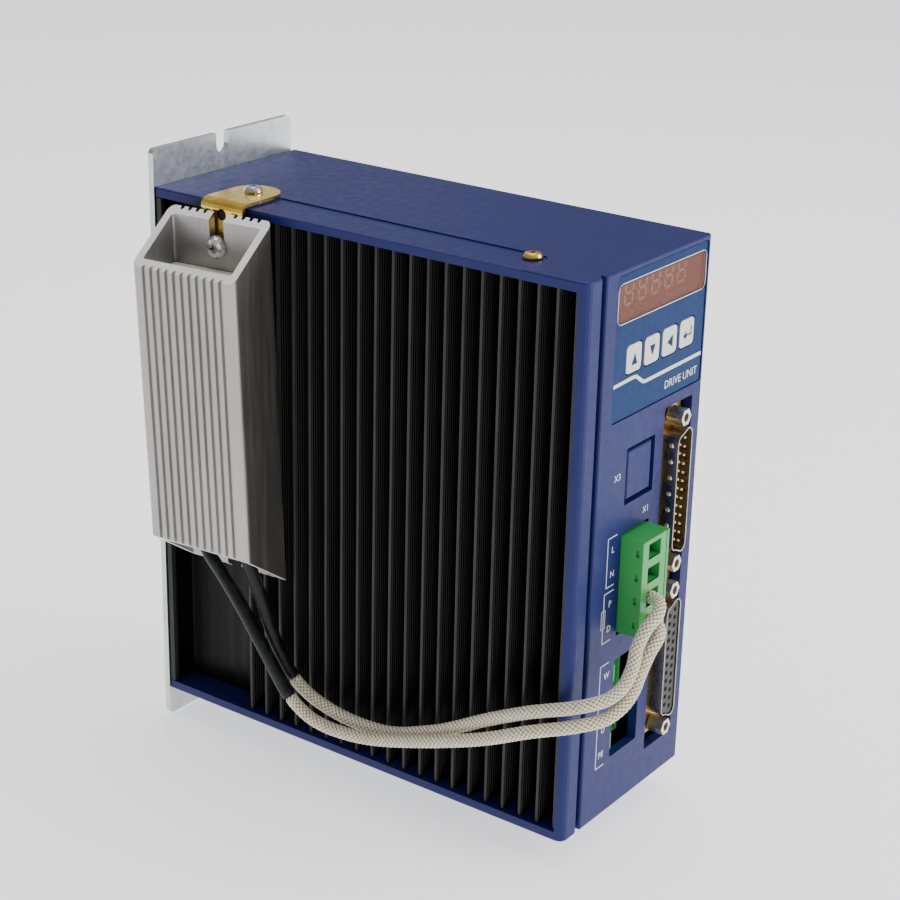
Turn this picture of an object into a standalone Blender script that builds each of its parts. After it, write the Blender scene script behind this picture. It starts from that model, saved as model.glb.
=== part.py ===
"""Servo drive in a flat case, with a finned heat sink on its left side and a brake resistor on that.

Everything is in metres. The origin is the centre of the mounting plate's rear face, which goes against the
cabinet's panel. +Z is up, the front panel faces -Y and the heat sink is on the -X side.
"""

import math

import bmesh
import bpy
from mathutils import Euler, Matrix, Vector

# ---------------------------------------------------------------- driving dimensions
GAP = 0.0003  # between pieces that touch
RUN = 0.0004  # each side of a piece that slides in another
THROUGH = 0.001  # how far a cutter runs past the face it opens

CASE_WIDTH = 0.0664
CASE_HEIGHT = 0.1728
CASE_DEPTH = 0.1597  # from the panel to the front face
WALL = 0.003
CASE_EDGE = 0.0007  # rounding of the case's rims
PILLAR_WIDTH = 0.0077  # the rounded post beside the heat sink's end
PILLAR_ROUND = 0.0026
GROOVE_WIDTH = 0.0019
GROOVE_DEPTH = 0.0018
PILLAR_LIP = 0.0008  # rounding of the groove's two lips
FRONT_LIP = 0.0006
STRIP_DEPTH = 0.0004  # the lowered strip along the case's top
STRIP_START = 0.0398  # from the panel
STRIP_SCREW_REACH = 0.0042  # the strip's round end, from its screw

PLATE_THICK = 0.002
PLATE_LEFT_PAST = 0.0005  # past the case's left side
PLATE_RIGHT_SHORT = 0.0022  # short of the case's right side
PLATE_TOP_TAB = 0.0118
PLATE_BOTTOM_TAB = 0.0098
PLATE_CORNER = 0.0015
NOTCH_WIDTH = 0.0057
NOTCH_DEPTH = 0.0068
NOTCH_X = -0.0022
PLATE_SCREW_RISE = 0.060  # from the middle, up and down
PLATE_SCREW_SLOT = 0.0008

SINK_DEPTH = 0.0152  # from the case's left side to the sink's inner face
SINK_BASE = 0.0058
SINK_FLANGE = 0.002
FIN_FIRST = 0.0372  # from the panel to the first fin's middle
FIN_PITCH = 0.00624
FIN_THICK = 0.0011
FIN_SHORT = 0.0012  # fin tips sit this far inside the case's left side

CLIP_SCREW_IN = 0.0038  # from the sink's inner face
SINK_SCREW_IN = 0.0035
CLIP_SCREW_BACK = 0.0320  # from the panel
SINK_SCREW_FRONT = 0.0257  # from the front face
SINK_SCREW_LENGTH = 0.008
M3_RADIUS = 0.0013
PAN_RADIUS = 0.0029
PAN_HEIGHT = 0.0019
WIDE_PAN_RADIUS = 0.0035  # the resistor's own screws
POINT_LENGTH = 0.0006

RESISTOR_WIDTH = 0.0390
RESISTOR_DEPTH = 0.0197
RESISTOR_LENGTH = 0.1164
RESISTOR_SLANT = 0.0143  # how much shorter the outer face is at each end
RESISTOR_WALL = 0.0026
RESISTOR_CORNER = 0.0022
RESISTOR_TOP_DROP = 0.0020  # below the case's top
RESISTOR_BACK = 0.0326  # from the panel to its middle
RESISTOR_OUT = 0.0038  # from the case's left side to its inner face, at the top
RESISTOR_TURN = math.radians(2.7)  # it hangs a little askew in its clips
RESISTOR_LEAN_OUT = math.radians(1.4)
RESISTOR_LEAN_BACK = math.radians(1.3)
RESISTOR_HOLLOW_CORNER = 0.0008
RIB_COUNT = 11
RIB_MARGIN = 0.0034
RIB_DEPTH = 0.0011
RIB_START = 0.22  # where each groove starts and how wide it is, as shares of the pitch
RIB_SHARE = 0.56
RIB_SLOPE = 0.0002
SLOT_WIDTH = 0.0055
RESISTOR_SCREW_IN = 0.0100  # from each end of the inner face
RESISTOR_CORE_DROP = 0.0170  # the filling starts this far below the top
RESISTOR_CORE_RISE = 0.0204  # and ends this far above the bottom

CLIP_THICK = 0.001
CLIP_HEAD_RADIUS = 0.0082
CLIP_LEG_WIDTH = 0.0100
CLIP_BEND_DROP = 0.0060
CLIP_LEG_LENGTH = 0.0180
CLIP_BEND = 0.0026  # outer radius
CLIP_HOLE = 0.0018
LOWER_CLIP_FOOT = 0.012
LOWER_CLIP_END = 0.0045  # below the resistor's lower screw

DISPLAY_SHORT = 0.0012  # the overlay's right edge, from the case's right side
DISPLAY_WIDTH = 0.0498
DISPLAY_TOP = 0.0016  # below the case's top
DISPLAY_HEIGHT = 0.0433
RECESS_DEPTH = 0.0009
RECESS_CORNER = 0.0012
OVERLAY_THICK = 0.00035
WINDOW_WIDTH = 0.0472
WINDOW_HEIGHT = 0.0109
WINDOW_SHORT = 0.0011  # its right edge, from the overlay's right edge
WINDOW_DROP = 0.0032  # its top edge, from the overlay's top edge
WINDOW_THICK = 0.0010
WINDOW_CORNER = 0.0018
WINDOW_LEDGE = 0.0012
OPENING_CORNER = 0.0006
KEY_SIDE = 0.0079
KEY_TALL = 0.0083
KEY_PITCH = 0.00975
KEY_SHORT = 0.0056  # the last key's right edge, from the overlay's right edge
KEY_DROP = 0.0219  # the keys' top edge, from the overlay's top edge
KEY_CORNER = 0.0013
KEY_THICK = 0.0012
KEY_TRAVEL = 0.0005
KEY_STEM = 0.0015
SWITCH_SIDE = 0.006
SWITCH_THICK = 0.0033
SWITCH_WELL = 0.0019
DIGITS_THICK = 0.0058
DIGITS_WIDTH = 0.0440
DIGITS_HEIGHT = 0.0092
BOARD_THICK = 0.0016
DISPLAY_BOARD_BACK = 0.0110  # its front face, from the front of the case
DISPLAY_BOARD_PAST = 0.002  # below the keys

COVER_LEFT = 0.0414  # the blank port's left edge, from the case's right side
COVER_WIDTH = 0.0156
COVER_TOP = 0.0547  # from the case's top
COVER_HEIGHT = 0.0175
COVER_MARGIN = 0.0012
COVER_SUNK = 0.00025
COVER_EDGE = 0.0006
COVER_FLANGE = 0.0014
COVER_FLANGE_THICK = 0.001
COVER_OPENING_CORNER = 0.0004

POLE_COUNT = 4
POLE_PITCH = 0.00762
TERMINAL_RIGHT = 0.0270  # the plug's right side, from the case's right side
PLUG_WIDTH = 0.0146
PLUG_TOP = 0.0820  # from the case's top
PLUG_PROUD = 0.0075
PLUG_BODY = 0.0110
NOSE_LENGTH = 0.0092
HEADER_WALL = 0.0012
HEADER_BACK = 0.0036
PIN_SIDE = 0.0010
PIN_LENGTH = 0.0070
PIN_ROOM = 0.0004
ENTRY_WIDTH = 0.0066
ENTRY_TALL = 0.0048
ENTRY_DEPTH = 0.0034
ENTRY_LEFT = 0.0033  # from the plug's left side
CHAMBER_LEFT = 0.0012
CHAMBER_TALL = 0.0061
CHAMBER_DEEP = 0.0054
CAGE_LENGTH = 0.0064
CAGE_TALL = 0.0055
CAGE_DEEP = 0.0046
CAGE_WALL = 0.0008
CAGE_RISE = 0.0020  # the furthest that a cage is drawn up
CAGE_GRIP = 0.0015  # how far a cage has risen where it holds a lead
LEAD_POLES = (2, 3)
CLAMP_HEAD_RADIUS = 0.0019
CLAMP_HEAD_HEIGHT = 0.0022
CLAMP_HEAD_SUNK = 0.0008
CLAMP_SHANK = 0.0012
CLAMP_LENGTH = 0.0056
CLAMP_SLOT = 0.0006
CLAMP_SLOT_FLOOR = 0.55  # how far up the head the slot starts, as a share
SIDE_SLOT_WIDTH = 0.0011
SIDE_SLOT_TALL = 0.0022
SIDE_SLOT_DEPTH = 0.0009
SIDE_SLOT_BACK = 0.0020  # its middle, from the plug's front
MOTOR_TOP = 0.1228  # the motor header's top, from the case's top
HEADER_ROOM = 0.0003
SLOT_MARGIN = 0.0012  # above and below a header in its slot
NOTCH_TALL = 0.0022  # the castellations of the motor header's left wall
NOTCH_REACH = 0.0028
LOW_WALLS = 0.0062  # how much lower its other three walls are

PORT_RIGHT = 0.0132  # the signal connectors' axis, from the case's right side
PORT_OPENING_WIDTH = 0.0159
PORT_OPENING_TOP = 0.0482  # from the case's top
PORT_OPENING_HEIGHT = 0.1129
UPPER_PORT = 0.0761  # the connector's middle, from the case's top
LOWER_PORT = 0.1320
SHELL_PROUD = 0.0031
JACK_PROUD = 0.0029
JACK_SPACING = 0.04704
JACK_ACROSS = 0.00476
JACK_BORE = 0.00142
JACK_SHANK = 0.0012
JACK_SHANK_LENGTH = 0.006
FLANGE_LENGTH = 0.0530
FLANGE_WIDTH = 0.0125
FLANGE_THICK = 0.0008
FLANGE_CORNER = 0.0012
SHELL_LONG = 0.0388
SHELL_SHORT = 0.0082
SHELL_METAL = 0.0004
SHELL_CORNER = 0.0026
SHELL_TAPER = math.radians(10)
SHELL_DEPTH = 0.0059
PINS_SUNK = 0.0046  # the insulator's face behind the shell's rim, round pins and with sockets
SOCKETS_SUNK = 0.0004
BLOCK_LENGTH = 0.0385
BLOCK_WIDTH = 0.0115
BLOCK_DEPTH = 0.0085

CONTROL_BOARD_FRONT = 0.0062  # its front edge, from the front of the case
CONTROL_BOARD_BACK = 0.0355  # its rear edge, from the panel
CONTROL_BOARD_TOP = 0.050
CONTROL_BOARD_BOTTOM = 0.006
BOSS_RADIUS = 0.003
POWER_BOARD_FRONT = 0.0105
POWER_BOARD_BACK = 0.0072
POWER_BOARD_TOP = 0.0400  # below the case's top, clear of the display board
POWER_BOARD_BOTTOM = 0.009
MODULE_SIZE = (0.044, 0.060)
MODULE_BACK = 0.062
MODULE_RISE = -0.036
BRIDGE_SIZE = (0.028, 0.028)
BRIDGE_BACK = 0.056
BRIDGE_RISE = 0.028
CAPACITOR_RADIUS = 0.0125
CAPACITOR_LENGTH = 0.0300
CAPACITOR_EDGE = 0.0008
CAPACITOR_BACK = (0.022, 0.050)
CAPACITOR_RISE = -0.060
TRANSFORMER_SIZE = (0.024, 0.026, 0.028)
TRANSFORMER_BACK = 0.034
TRANSFORMER_RISE = 0.010
RELAY_SIZE = (0.0155, 0.0200, 0.0155)
RELAY_BACK = 0.095
RELAY_RISE = 0.030

LEAD_RADIUS = 0.0020
SLEEVE_RADIUS = 0.0022
LEAD_SPACING = 0.006  # between the points that the tubes are drawn through

# Each resistor lead's route, from the filling to its terminal, and how much of it the sleeving covers.
LEAD_1_SLEEVED = 0.061
LEAD_1_ROUTE = (
    (-0.0450, -0.0268, -0.0135),
    (-0.0450, -0.0288, -0.0183),
    (-0.0452, -0.0320, -0.0236),
    (-0.0456, -0.0385, -0.0300),
    (-0.0456, -0.0450, -0.0373),
    (-0.0448, -0.0555, -0.0526),
    (-0.0437, -0.0624, -0.0635),
    (-0.0427, -0.0688, -0.0693),
    (-0.0418, -0.0750, -0.0717),
    (-0.0412, -0.0836, -0.0720),
    (-0.0410, -0.0931, -0.0707),
    (-0.0409, -0.1047, -0.0675),
    (-0.0409, -0.1208, -0.0619),
    (-0.0407, -0.1366, -0.0556),
    (-0.0400, -0.1514, -0.0485),
    (-0.0367, -0.1639, -0.0440),
    (-0.0300, -0.1705, -0.0421),
    (-0.0251, -0.1728, -0.0395),
    (-0.0202, -0.1734, -0.0361),
    (-0.0165, -0.1734, -0.0314),
    (-0.0132, -0.1738, -0.0268),
    (-0.0095, -0.1739, -0.0241),
    (-0.0060, -0.1727, -0.0228),
    (-0.0032, -0.1701, -0.0223),
    (-0.0019, -0.1670, -0.0223),
    (-0.0018, -0.1646, -0.0223),
)
LEAD_2_SLEEVED = 0.049
LEAD_2_ROUTE = (
    (-0.0442, -0.0436, -0.0135),
    (-0.0437, -0.0453, -0.0190),
    (-0.0430, -0.0472, -0.0252),
    (-0.0415, -0.0506, -0.0361),
    (-0.0402, -0.0541, -0.0480),
    (-0.0385, -0.0586, -0.0587),
    (-0.0370, -0.0642, -0.0652),
    (-0.0364, -0.0719, -0.0685),
    (-0.0362, -0.0818, -0.0701),
    (-0.0362, -0.0918, -0.0699),
    (-0.0362, -0.1015, -0.0680),
    (-0.0365, -0.1179, -0.0610),
    (-0.0374, -0.1343, -0.0515),
    (-0.0384, -0.1501, -0.0432),
    (-0.0358, -0.1633, -0.0384),
    (-0.0297, -0.1703, -0.0361),
    (-0.0242, -0.1724, -0.0332),
    (-0.0203, -0.1727, -0.0287),
    (-0.0175, -0.1722, -0.0238),
    (-0.0143, -0.1726, -0.0195),
    (-0.0101, -0.1733, -0.0168),
    (-0.0062, -0.1724, -0.0154),
    (-0.0033, -0.1700, -0.0148),
    (-0.0019, -0.1670, -0.0147),
    (-0.0018, -0.1646, -0.0147),
)

# ---------------------------------------------------------------- places worked out from them
LEFT = -CASE_WIDTH / 2
RIGHT = CASE_WIDTH / 2
TOP = CASE_HEIGHT / 2
BOTTOM = -CASE_HEIGHT / 2
FRONT = -CASE_DEPTH
REAR = -(PLATE_THICK + GAP)
INNER_FRONT = FRONT + WALL
INNER_RIGHT = RIGHT - WALL
SINK_INNER = LEFT + SINK_DEPTH
SINK_OUTER = SINK_INNER - SINK_BASE
SINK_END = INNER_FRONT + GAP
FIN_COUNT = int((-SINK_END - FIN_FIRST - FIN_THICK / 2) / FIN_PITCH) + 1
CLIP_SCREW_AT = (SINK_INNER - CLIP_SCREW_IN, -CLIP_SCREW_BACK)
SINK_SCREW_AT = (SINK_INNER - SINK_SCREW_IN, FRONT + SINK_SCREW_FRONT)
PLATE_SCREW_X = SINK_INNER - SINK_BASE / 2

OVERLAY_RIGHT = RIGHT - DISPLAY_SHORT
OVERLAY_LEFT = OVERLAY_RIGHT - DISPLAY_WIDTH
OVERLAY_TOP = TOP - DISPLAY_TOP
OVERLAY_BOTTOM = OVERLAY_TOP - DISPLAY_HEIGHT
RECESS_FLOOR = FRONT + RECESS_DEPTH
OVERLAY_BACK = RECESS_FLOOR - GAP
OVERLAY_FACE = OVERLAY_BACK - OVERLAY_THICK
WINDOW_RIGHT = OVERLAY_RIGHT - WINDOW_SHORT
WINDOW_LEFT = WINDOW_RIGHT - WINDOW_WIDTH
WINDOW_TOP = OVERLAY_TOP - WINDOW_DROP
WINDOW_BOTTOM = WINDOW_TOP - WINDOW_HEIGHT
KEY_TOP = OVERLAY_TOP - KEY_DROP
KEY_NAMES = ("up", "down", "left", "enter")
KEY_LAST = OVERLAY_RIGHT - KEY_SHORT - KEY_SIDE
KEY_LEFTS = [KEY_LAST - KEY_PITCH * (len(KEY_NAMES) - 1 - i) for i in range(len(KEY_NAMES))]
DISPLAY_BOARD_FACE = FRONT + DISPLAY_BOARD_BACK
COVER_X0 = RIGHT - COVER_LEFT
COVER_HIGH = TOP - COVER_TOP

PLUG_RIGHT = RIGHT - TERMINAL_RIGHT
PLUG_LEFT = PLUG_RIGHT - PLUG_WIDTH
PLUG_HIGH = TOP - PLUG_TOP
PLUG_LENGTH = POLE_COUNT * POLE_PITCH
PLUG_LOW = PLUG_HIGH - PLUG_LENGTH
PLUG_FRONT = FRONT - PLUG_PROUD
PLUG_SHOULDER = PLUG_FRONT + PLUG_BODY
HEADER_FRONT = PLUG_SHOULDER + GAP
NOSE_END = PLUG_SHOULDER + NOSE_LENGTH
HEADER_FLOOR = NOSE_END + GAP
HEADER_END = HEADER_FLOOR + HEADER_BACK
ENTRY_X = PLUG_LEFT + ENTRY_LEFT
CAGE_LEFT = PLUG_LEFT + CHAMBER_LEFT + GAP
CHAMBER_LENGTH = CAGE_LENGTH + CAGE_RISE + 2 * GAP
CLAMP_Y = PLUG_FRONT + ENTRY_DEPTH + CHAMBER_DEEP / 2
PIN_X = (PLUG_LEFT + PLUG_RIGHT) / 2
MOTOR_HIGH = TOP - MOTOR_TOP
MOTOR_LOW = MOTOR_HIGH - PLUG_LENGTH
MOTOR_FRONT = FRONT + GAP + HEADER_ROOM

PORT_X = RIGHT - PORT_RIGHT
PORT_LEFT = PORT_X - PORT_OPENING_WIDTH / 2
PORT_HIGH = TOP - PORT_OPENING_TOP
PORT_LOW = PORT_HIGH - PORT_OPENING_HEIGHT
SHELL_RIM = FRONT - SHELL_PROUD
FLANGE_FACE = SHELL_RIM + SHELL_DEPTH
JACK_TIP = FRONT - JACK_PROUD
CONTROL_FACE = PORT_X + BLOCK_WIDTH / 2 + GAP
POWER_FACE = PLUG_LEFT - GAP


def pole_middle(top, index):
    """The height of one pole's middle, below a header's or plug's top."""
    return top - POLE_PITCH * (index + 0.5)


# ---------------------------------------------------------------- modelling tools
LOOKS = {
    "blue_plastic": ((0.050, 0.065, 0.235), 0.42, 0.0),
    "black_anodised": ((0.008, 0.008, 0.009), 0.38, 0.6),
    "zinc_plate": ((0.55, 0.57, 0.58), 0.35, 1.0),
    "brass_plate": ((0.62, 0.38, 0.08), 0.28, 1.0),
    "raw_aluminium": ((0.52, 0.51, 0.49), 0.42, 0.9),
    "bright_steel": ((0.65, 0.64, 0.60), 0.25, 1.0),
    "filling": ((0.62, 0.60, 0.55), 0.85, 0.0),
    "overlay_blue": ((0.026, 0.085, 0.25), 0.45, 0.0),
    "window_tint": ((0.36, 0.13, 0.09), 0.25, 0.0),
    "key_white": ((0.78, 0.78, 0.75), 0.45, 0.0),
    "green_plastic": ((0.05, 0.36, 0.07), 0.42, 0.0),
    "black_plastic": ((0.012, 0.012, 0.012), 0.45, 0.0),
    "circuit_board": ((0.02, 0.14, 0.05), 0.40, 0.0),
    "nickel": ((0.50, 0.45, 0.38), 0.25, 1.0),
    "capacitor_sleeve": ((0.02, 0.02, 0.03), 0.35, 0.0),
    "transformer_tape": ((0.70, 0.55, 0.10), 0.50, 0.0),
    "black_sleeving": ((0.014, 0.015, 0.018), 0.45, 0.0),
    "glass_braid": ((0.66, 0.62, 0.52), 0.90, 0.0),
}


def look(name):
    """The material of one finish, made the first time it is asked for."""
    made = bpy.data.materials.get(name)
    if made is None:
        colour, roughness, metallic = LOOKS[name]
        made = bpy.data.materials.new(name)
        made.use_nodes = True
        shader = made.node_tree.nodes["Principled BSDF"]
        shader.inputs["Base Color"].default_value = (*colour, 1)
        shader.inputs["Roughness"].default_value = roughness
        shader.inputs["Metallic"].default_value = metallic
    return made


def placed(name, shape):
    """A new object that takes over the shape."""
    mesh = bpy.data.meshes.new(name)
    bmesh.ops.recalc_face_normals(shape, faces=shape.faces)
    shape.to_mesh(mesh)
    shape.free()
    made = bpy.data.objects.new(name, mesh)
    bpy.context.scene.collection.objects.link(made)
    return made


def piece(name, finish, shape, smooth=None):
    """One sub-part. smooth is the angle, in degrees, up to which its faces are shaded as round."""
    made = placed(name, shape)
    made.data.materials.append(look(finish))
    if smooth:
        made.data.shade_smooth()
        made.data.set_sharp_from_angle(angle=math.radians(smooth))
    return made


def pivot_at(made, point):
    """Moves a piece's origin to a point on its joint's axis, and leaves its shape where it is."""
    made.data.transform(Matrix.Translation(-Vector(point)))
    made.location = point
    return made


def reshape(target, shape, operation):
    """Adds a Boolean to the target, with a hidden object of this shape."""
    tool = placed(f"{target.name}_tool_{len(target.modifiers)}", shape)
    tool.hide_render = True
    tool.display_type = "WIRE"
    change = target.modifiers.new(tool.name, "BOOLEAN")
    change.operation = operation
    change.object = tool
    return target


def cut(target, *shapes):
    for shape in shapes:
        reshape(target, shape, "DIFFERENCE")
    return target


def weld_on(target, *shapes):
    for shape in shapes:
        reshape(target, shape, "UNION")
    return target


def prism(outline, axis, start, end):
    """An outline pulled along an axis. Its points are (y, z), (x, z) or (x, y), for the axis x, y or z."""
    shape = bmesh.new()
    order = {"x": (2, 0, 1), "y": (0, 2, 1), "z": (0, 1, 2)}[axis]
    first = [shape.verts.new([(a, b, start)[i] for i in order]) for a, b in outline]
    last = [shape.verts.new([(a, b, end)[i] for i in order]) for a, b in outline]
    shape.faces.new(first)
    shape.faces.new(last[::-1])
    for i in range(len(outline)):
        j = (i + 1) % len(outline)
        shape.faces.new((first[i], last[i], last[j], first[j]))
    bmesh.ops.recalc_face_normals(shape, faces=shape.faces)
    return shape


def box(low, high):
    """A block between two corners."""
    outline = [(low[0], low[1]), (high[0], low[1]), (high[0], high[1]), (low[0], high[1])]
    return prism(outline, "z", low[2], high[2])


def arc(middle, radius, start, end, steps):
    """Points on an arc, from one angle to another in degrees."""
    turns = [math.radians(start + (end - start) * i / steps) for i in range(steps + 1)]
    return [(middle[0] + radius * math.cos(t), middle[1] + radius * math.sin(t)) for t in turns]


def circle(middle, radius, sides):
    return arc(middle, radius, 0, 360, sides)[:-1]


def rounded(low, high, radius, steps=3):
    """A rectangle with round corners."""
    (x0, y0), (x1, y1) = low, high
    return (
        arc((x1 - radius, y1 - radius), radius, 0, 90, steps)
        + arc((x0 + radius, y1 - radius), radius, 90, 180, steps)
        + arc((x0 + radius, y0 + radius), radius, 180, 270, steps)
        + arc((x1 - radius, y0 + radius), radius, 270, 360, steps)
    )


def rim_bevel(shape, width, chosen):
    """Rounds the edges that a test picks, given the edge's two ends."""
    edges = [e for e in shape.edges if chosen(*[v.co for v in e.verts])]
    bmesh.ops.bevel(shape, geom=edges, offset=width, segments=2, profile=0.5, affect="EDGES")
    return shape


def turned(profile, sides):
    """A turned solid about Z. The profile's points are (radius, height); a radius of 0 ends it in a point."""
    shape = bmesh.new()
    rings = []
    for radius, height in profile:
        ring = [(0.0, 0.0)] if radius == 0 else circle((0, 0), radius, sides)
        rings.append([shape.verts.new((x, y, height)) for x, y in ring])
    for lower, upper in zip(rings, rings[1:]):
        for i in range(sides):
            spots = [(lower, i), (lower, i + 1), (upper, i + 1), (upper, i)]
            corners = [ring[at % len(ring)] for ring, at in spots]
            shape.faces.new(list(dict.fromkeys(corners)))
    for ring in (rings[0], rings[-1]):
        if len(ring) > 1:
            shape.faces.new(ring)
    bmesh.ops.recalc_face_normals(shape, faces=shape.faces)
    return shape


def moved(shape, matrix):
    bmesh.ops.transform(shape, matrix=matrix, verts=shape.verts)
    return shape


def facing(point, outward):
    """The matrix that puts a piece made along +Z at a point, looking outward."""
    return Matrix.Translation(point) @ Vector(outward).to_track_quat("Z", "Y").to_matrix().to_4x4()


def plus_outline(reach, width):
    """A plus sign with slim waists, for a cross recess."""
    return [
        (x * math.cos(t) - y * math.sin(t), x * math.sin(t) + y * math.cos(t))
        for t in (0, math.pi / 2, math.pi, math.pi * 1.5)
        for x, y in ((reach, width), (width, width))
    ]


def pan_screw(name, finish, seat, outward, length, place=None, head=PAN_RADIUS):
    """A cross-recess pan-head screw whose head sits on the seat."""
    place = (place or Matrix.Identity(4)) @ facing(seat, outward)
    profile = [
        (M3_RADIUS * 0.6, -length),
        (M3_RADIUS, -length + POINT_LENGTH),
        (M3_RADIUS, GAP),
        (head, GAP),
        (head, PAN_HEIGHT * 0.45),
        (head * 0.82, PAN_HEIGHT * 0.85),
        (head * 0.45, PAN_HEIGHT),
    ]
    made = piece(name, finish, moved(turned(profile, 16), place), smooth=40)
    recess = prism(plus_outline(head * 0.52, head * 0.13), "z", PAN_HEIGHT * 0.35, PAN_HEIGHT + THROUGH)
    return cut(made, moved(recess, place))


def u_slot(middle, radius, mouth, inward, steps):
    """An open slot's outline: a half circle round the middle, and straight sides out to the mouth."""
    turn = 180 if inward < 0 else 0
    ends = arc(middle, radius, turn, turn + 180, steps)
    return [*ends, (ends[-1][0], mouth), (ends[0][0], mouth)]


def smooth_route(points, spacing):
    """Evenly spaced points on a smooth curve through the route's own points."""
    knots = [Vector(p) for p in points]
    padded = [2 * knots[0] - knots[1], *knots, 2 * knots[-1] - knots[-2]]
    fine = [knots[0]]
    for before, start, end, after in zip(padded, padded[1:], padded[2:], padded[3:]):
        for step in range(1, 13):
            t = step / 12
            fine.append(
                0.5
                * (
                    2 * start
                    + (end - before) * t
                    + (2 * before - 5 * start + 4 * end - after) * t**2
                    + (3 * start - before - 3 * end + after) * t**3
                )
            )
    reach = [0.0]
    for a, b in zip(fine, fine[1:]):
        reach.append(reach[-1] + (b - a).length)
    count = max(2, round(reach[-1] / spacing))
    even, at = [], 0
    for i in range(count + 1):
        want = reach[-1] * i / count
        while at < len(reach) - 2 and reach[at + 1] < want:
            at += 1
        share = (want - reach[at]) / (reach[at + 1] - reach[at])
        even.append(fine[at].lerp(fine[at + 1], min(1.0, share)))
    return even


def tube(name, finish, points, radius):
    """A round tube along points."""
    curve = bpy.data.curves.new(name, "CURVE")
    curve.dimensions = "3D"
    curve.bevel_depth = radius
    curve.bevel_resolution = 2
    curve.use_fill_caps = True
    line = curve.splines.new("POLY")
    line.points.add(len(points) - 1)
    for spot, point in zip(line.points, points):
        spot.co = (*point, 1)
    curve.materials.append(look(finish))
    made = bpy.data.objects.new(name, curve)
    bpy.context.scene.collection.objects.link(made)
    return made


# ---------------------------------------------------------------- the sub-parts
def mounting_plate():
    """The zinc-plated plate at the rear, with an open slot in the tab at each end."""
    low, high = BOTTOM - PLATE_BOTTOM_TAB, TOP + PLATE_TOP_TAB
    outline = rounded((LEFT - PLATE_LEFT_PAST, low), (RIGHT - PLATE_RIGHT_SHORT, high), PLATE_CORNER, 2)
    plate = piece("mounting_plate", "zinc_plate", prism(outline, "y", -PLATE_THICK, 0))
    radius = NOTCH_WIDTH / 2
    for edge, inward in ((high, -1), (low, 1)):
        middle = (NOTCH_X, edge + inward * (NOTCH_DEPTH - radius))
        slot = u_slot(middle, radius, edge - inward * THROUGH, inward, 6)
        cut(plate, prism(slot, "y", -PLATE_THICK - THROUGH, THROUGH))
    for height in (PLATE_SCREW_RISE, -PLATE_SCREW_RISE):
        hole = circle((PLATE_SCREW_X, height), PAN_RADIUS + GAP, 12)
        cut(plate, prism(hole, "y", -PLATE_THICK - THROUGH, THROUGH))


def plate_screws():
    """Cheese-head screws that hold the plate to the heat sink's rear end, sunk below its rear face."""
    for word, height in (("top", PLATE_SCREW_RISE), ("bottom", -PLATE_SCREW_RISE)):
        profile = [
            (M3_RADIUS, -SINK_SCREW_LENGTH),
            (M3_RADIUS, 0.0),
            (PAN_RADIUS, 0.0),
            (PAN_RADIUS, PLATE_THICK - GAP),
        ]
        place = facing((PLATE_SCREW_X, -PLATE_THICK, height), (0, 1, 0))
        screw = piece(f"plate_screw_{word}", "bright_steel", moved(turned(profile, 12), place), smooth=40)
        far, half = PAN_RADIUS * 2, PLATE_SCREW_SLOT / 2
        slot = box((-far, -half, PLATE_THICK * 0.4), (far, half, PLATE_THICK))
        cut(screw, moved(slot, place))


def heat_sink():
    """The black extrusion: a base, a flange against the mounting plate, a bare stretch, and the fins."""
    tip = LEFT + FIN_SHORT
    outline = [(SINK_INNER, REAR), (LEFT, REAR), (LEFT, REAR - SINK_FLANGE), (SINK_OUTER, REAR - SINK_FLANGE)]
    for i in range(FIN_COUNT):
        back = -FIN_FIRST - FIN_PITCH * i + FIN_THICK / 2
        outline += [(SINK_OUTER, back), (tip, back), (tip, back - FIN_THICK), (SINK_OUTER, back - FIN_THICK)]
    outline += [(SINK_OUTER, SINK_END), (SINK_INNER, SINK_END)]
    reach = TOP - WALL - GAP
    sink = piece("heat_sink", "black_anodised", prism(outline, "z", -reach, reach))
    bore = M3_RADIUS + GAP
    for x, y in (CLIP_SCREW_AT, SINK_SCREW_AT):
        cut(sink, prism(circle((x, y), bore, 10), "z", reach - SINK_SCREW_LENGTH, reach + THROUGH))
    cut(sink, prism(circle(SINK_SCREW_AT, bore, 10), "z", -reach - THROUGH, -reach + SINK_SCREW_LENGTH))
    for height in (PLATE_SCREW_RISE, -PLATE_SCREW_RISE):
        hole = circle((PLATE_SCREW_X, height), bore, 10)
        cut(sink, prism(hole, "y", REAR - SINK_SCREW_LENGTH - THROUGH, REAR + THROUGH))
    foot = circle(lower_clip_screw(), bore, 10)
    cut(sink, prism(foot, "x", SINK_OUTER - THROUGH, SINK_OUTER + SINK_BASE * 0.8))


def housing():
    """The blue case: top, bottom, right side and front in one moulding, open at the left and the rear."""
    groove = LEFT + PILLAR_WIDTH
    far = groove + GROOVE_WIDTH
    outline = [(RIGHT, REAR), (LEFT, REAR)]
    outline += arc((LEFT + PILLAR_ROUND, FRONT + PILLAR_ROUND), PILLAR_ROUND, 180, 270, 4)
    outline += arc((groove - PILLAR_LIP, FRONT + PILLAR_LIP), PILLAR_LIP, 270, 360, 2)
    outline += [(groove, FRONT + GROOVE_DEPTH), (far, FRONT + GROOVE_DEPTH)]
    outline += arc((far + FRONT_LIP, FRONT + FRONT_LIP), FRONT_LIP, 180, 270, 2)
    outline += arc((RIGHT - CASE_EDGE, FRONT + CASE_EDGE), CASE_EDGE, 270, 360, 2)
    shell = prism(outline, "z", BOTTOM, TOP)
    rim_bevel(shell, CASE_EDGE * 0.8, is_case_rim)
    case = piece("housing", "blue_plastic", shell, smooth=35)
    cut(case, box((LEFT - THROUGH, INNER_FRONT, BOTTOM + WALL), (INNER_RIGHT, THROUGH, TOP - WALL)))
    cut(case, lowered_strip(), *front_openings(), *screw_holes())
    weld_on(case, *board_bosses())


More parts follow.
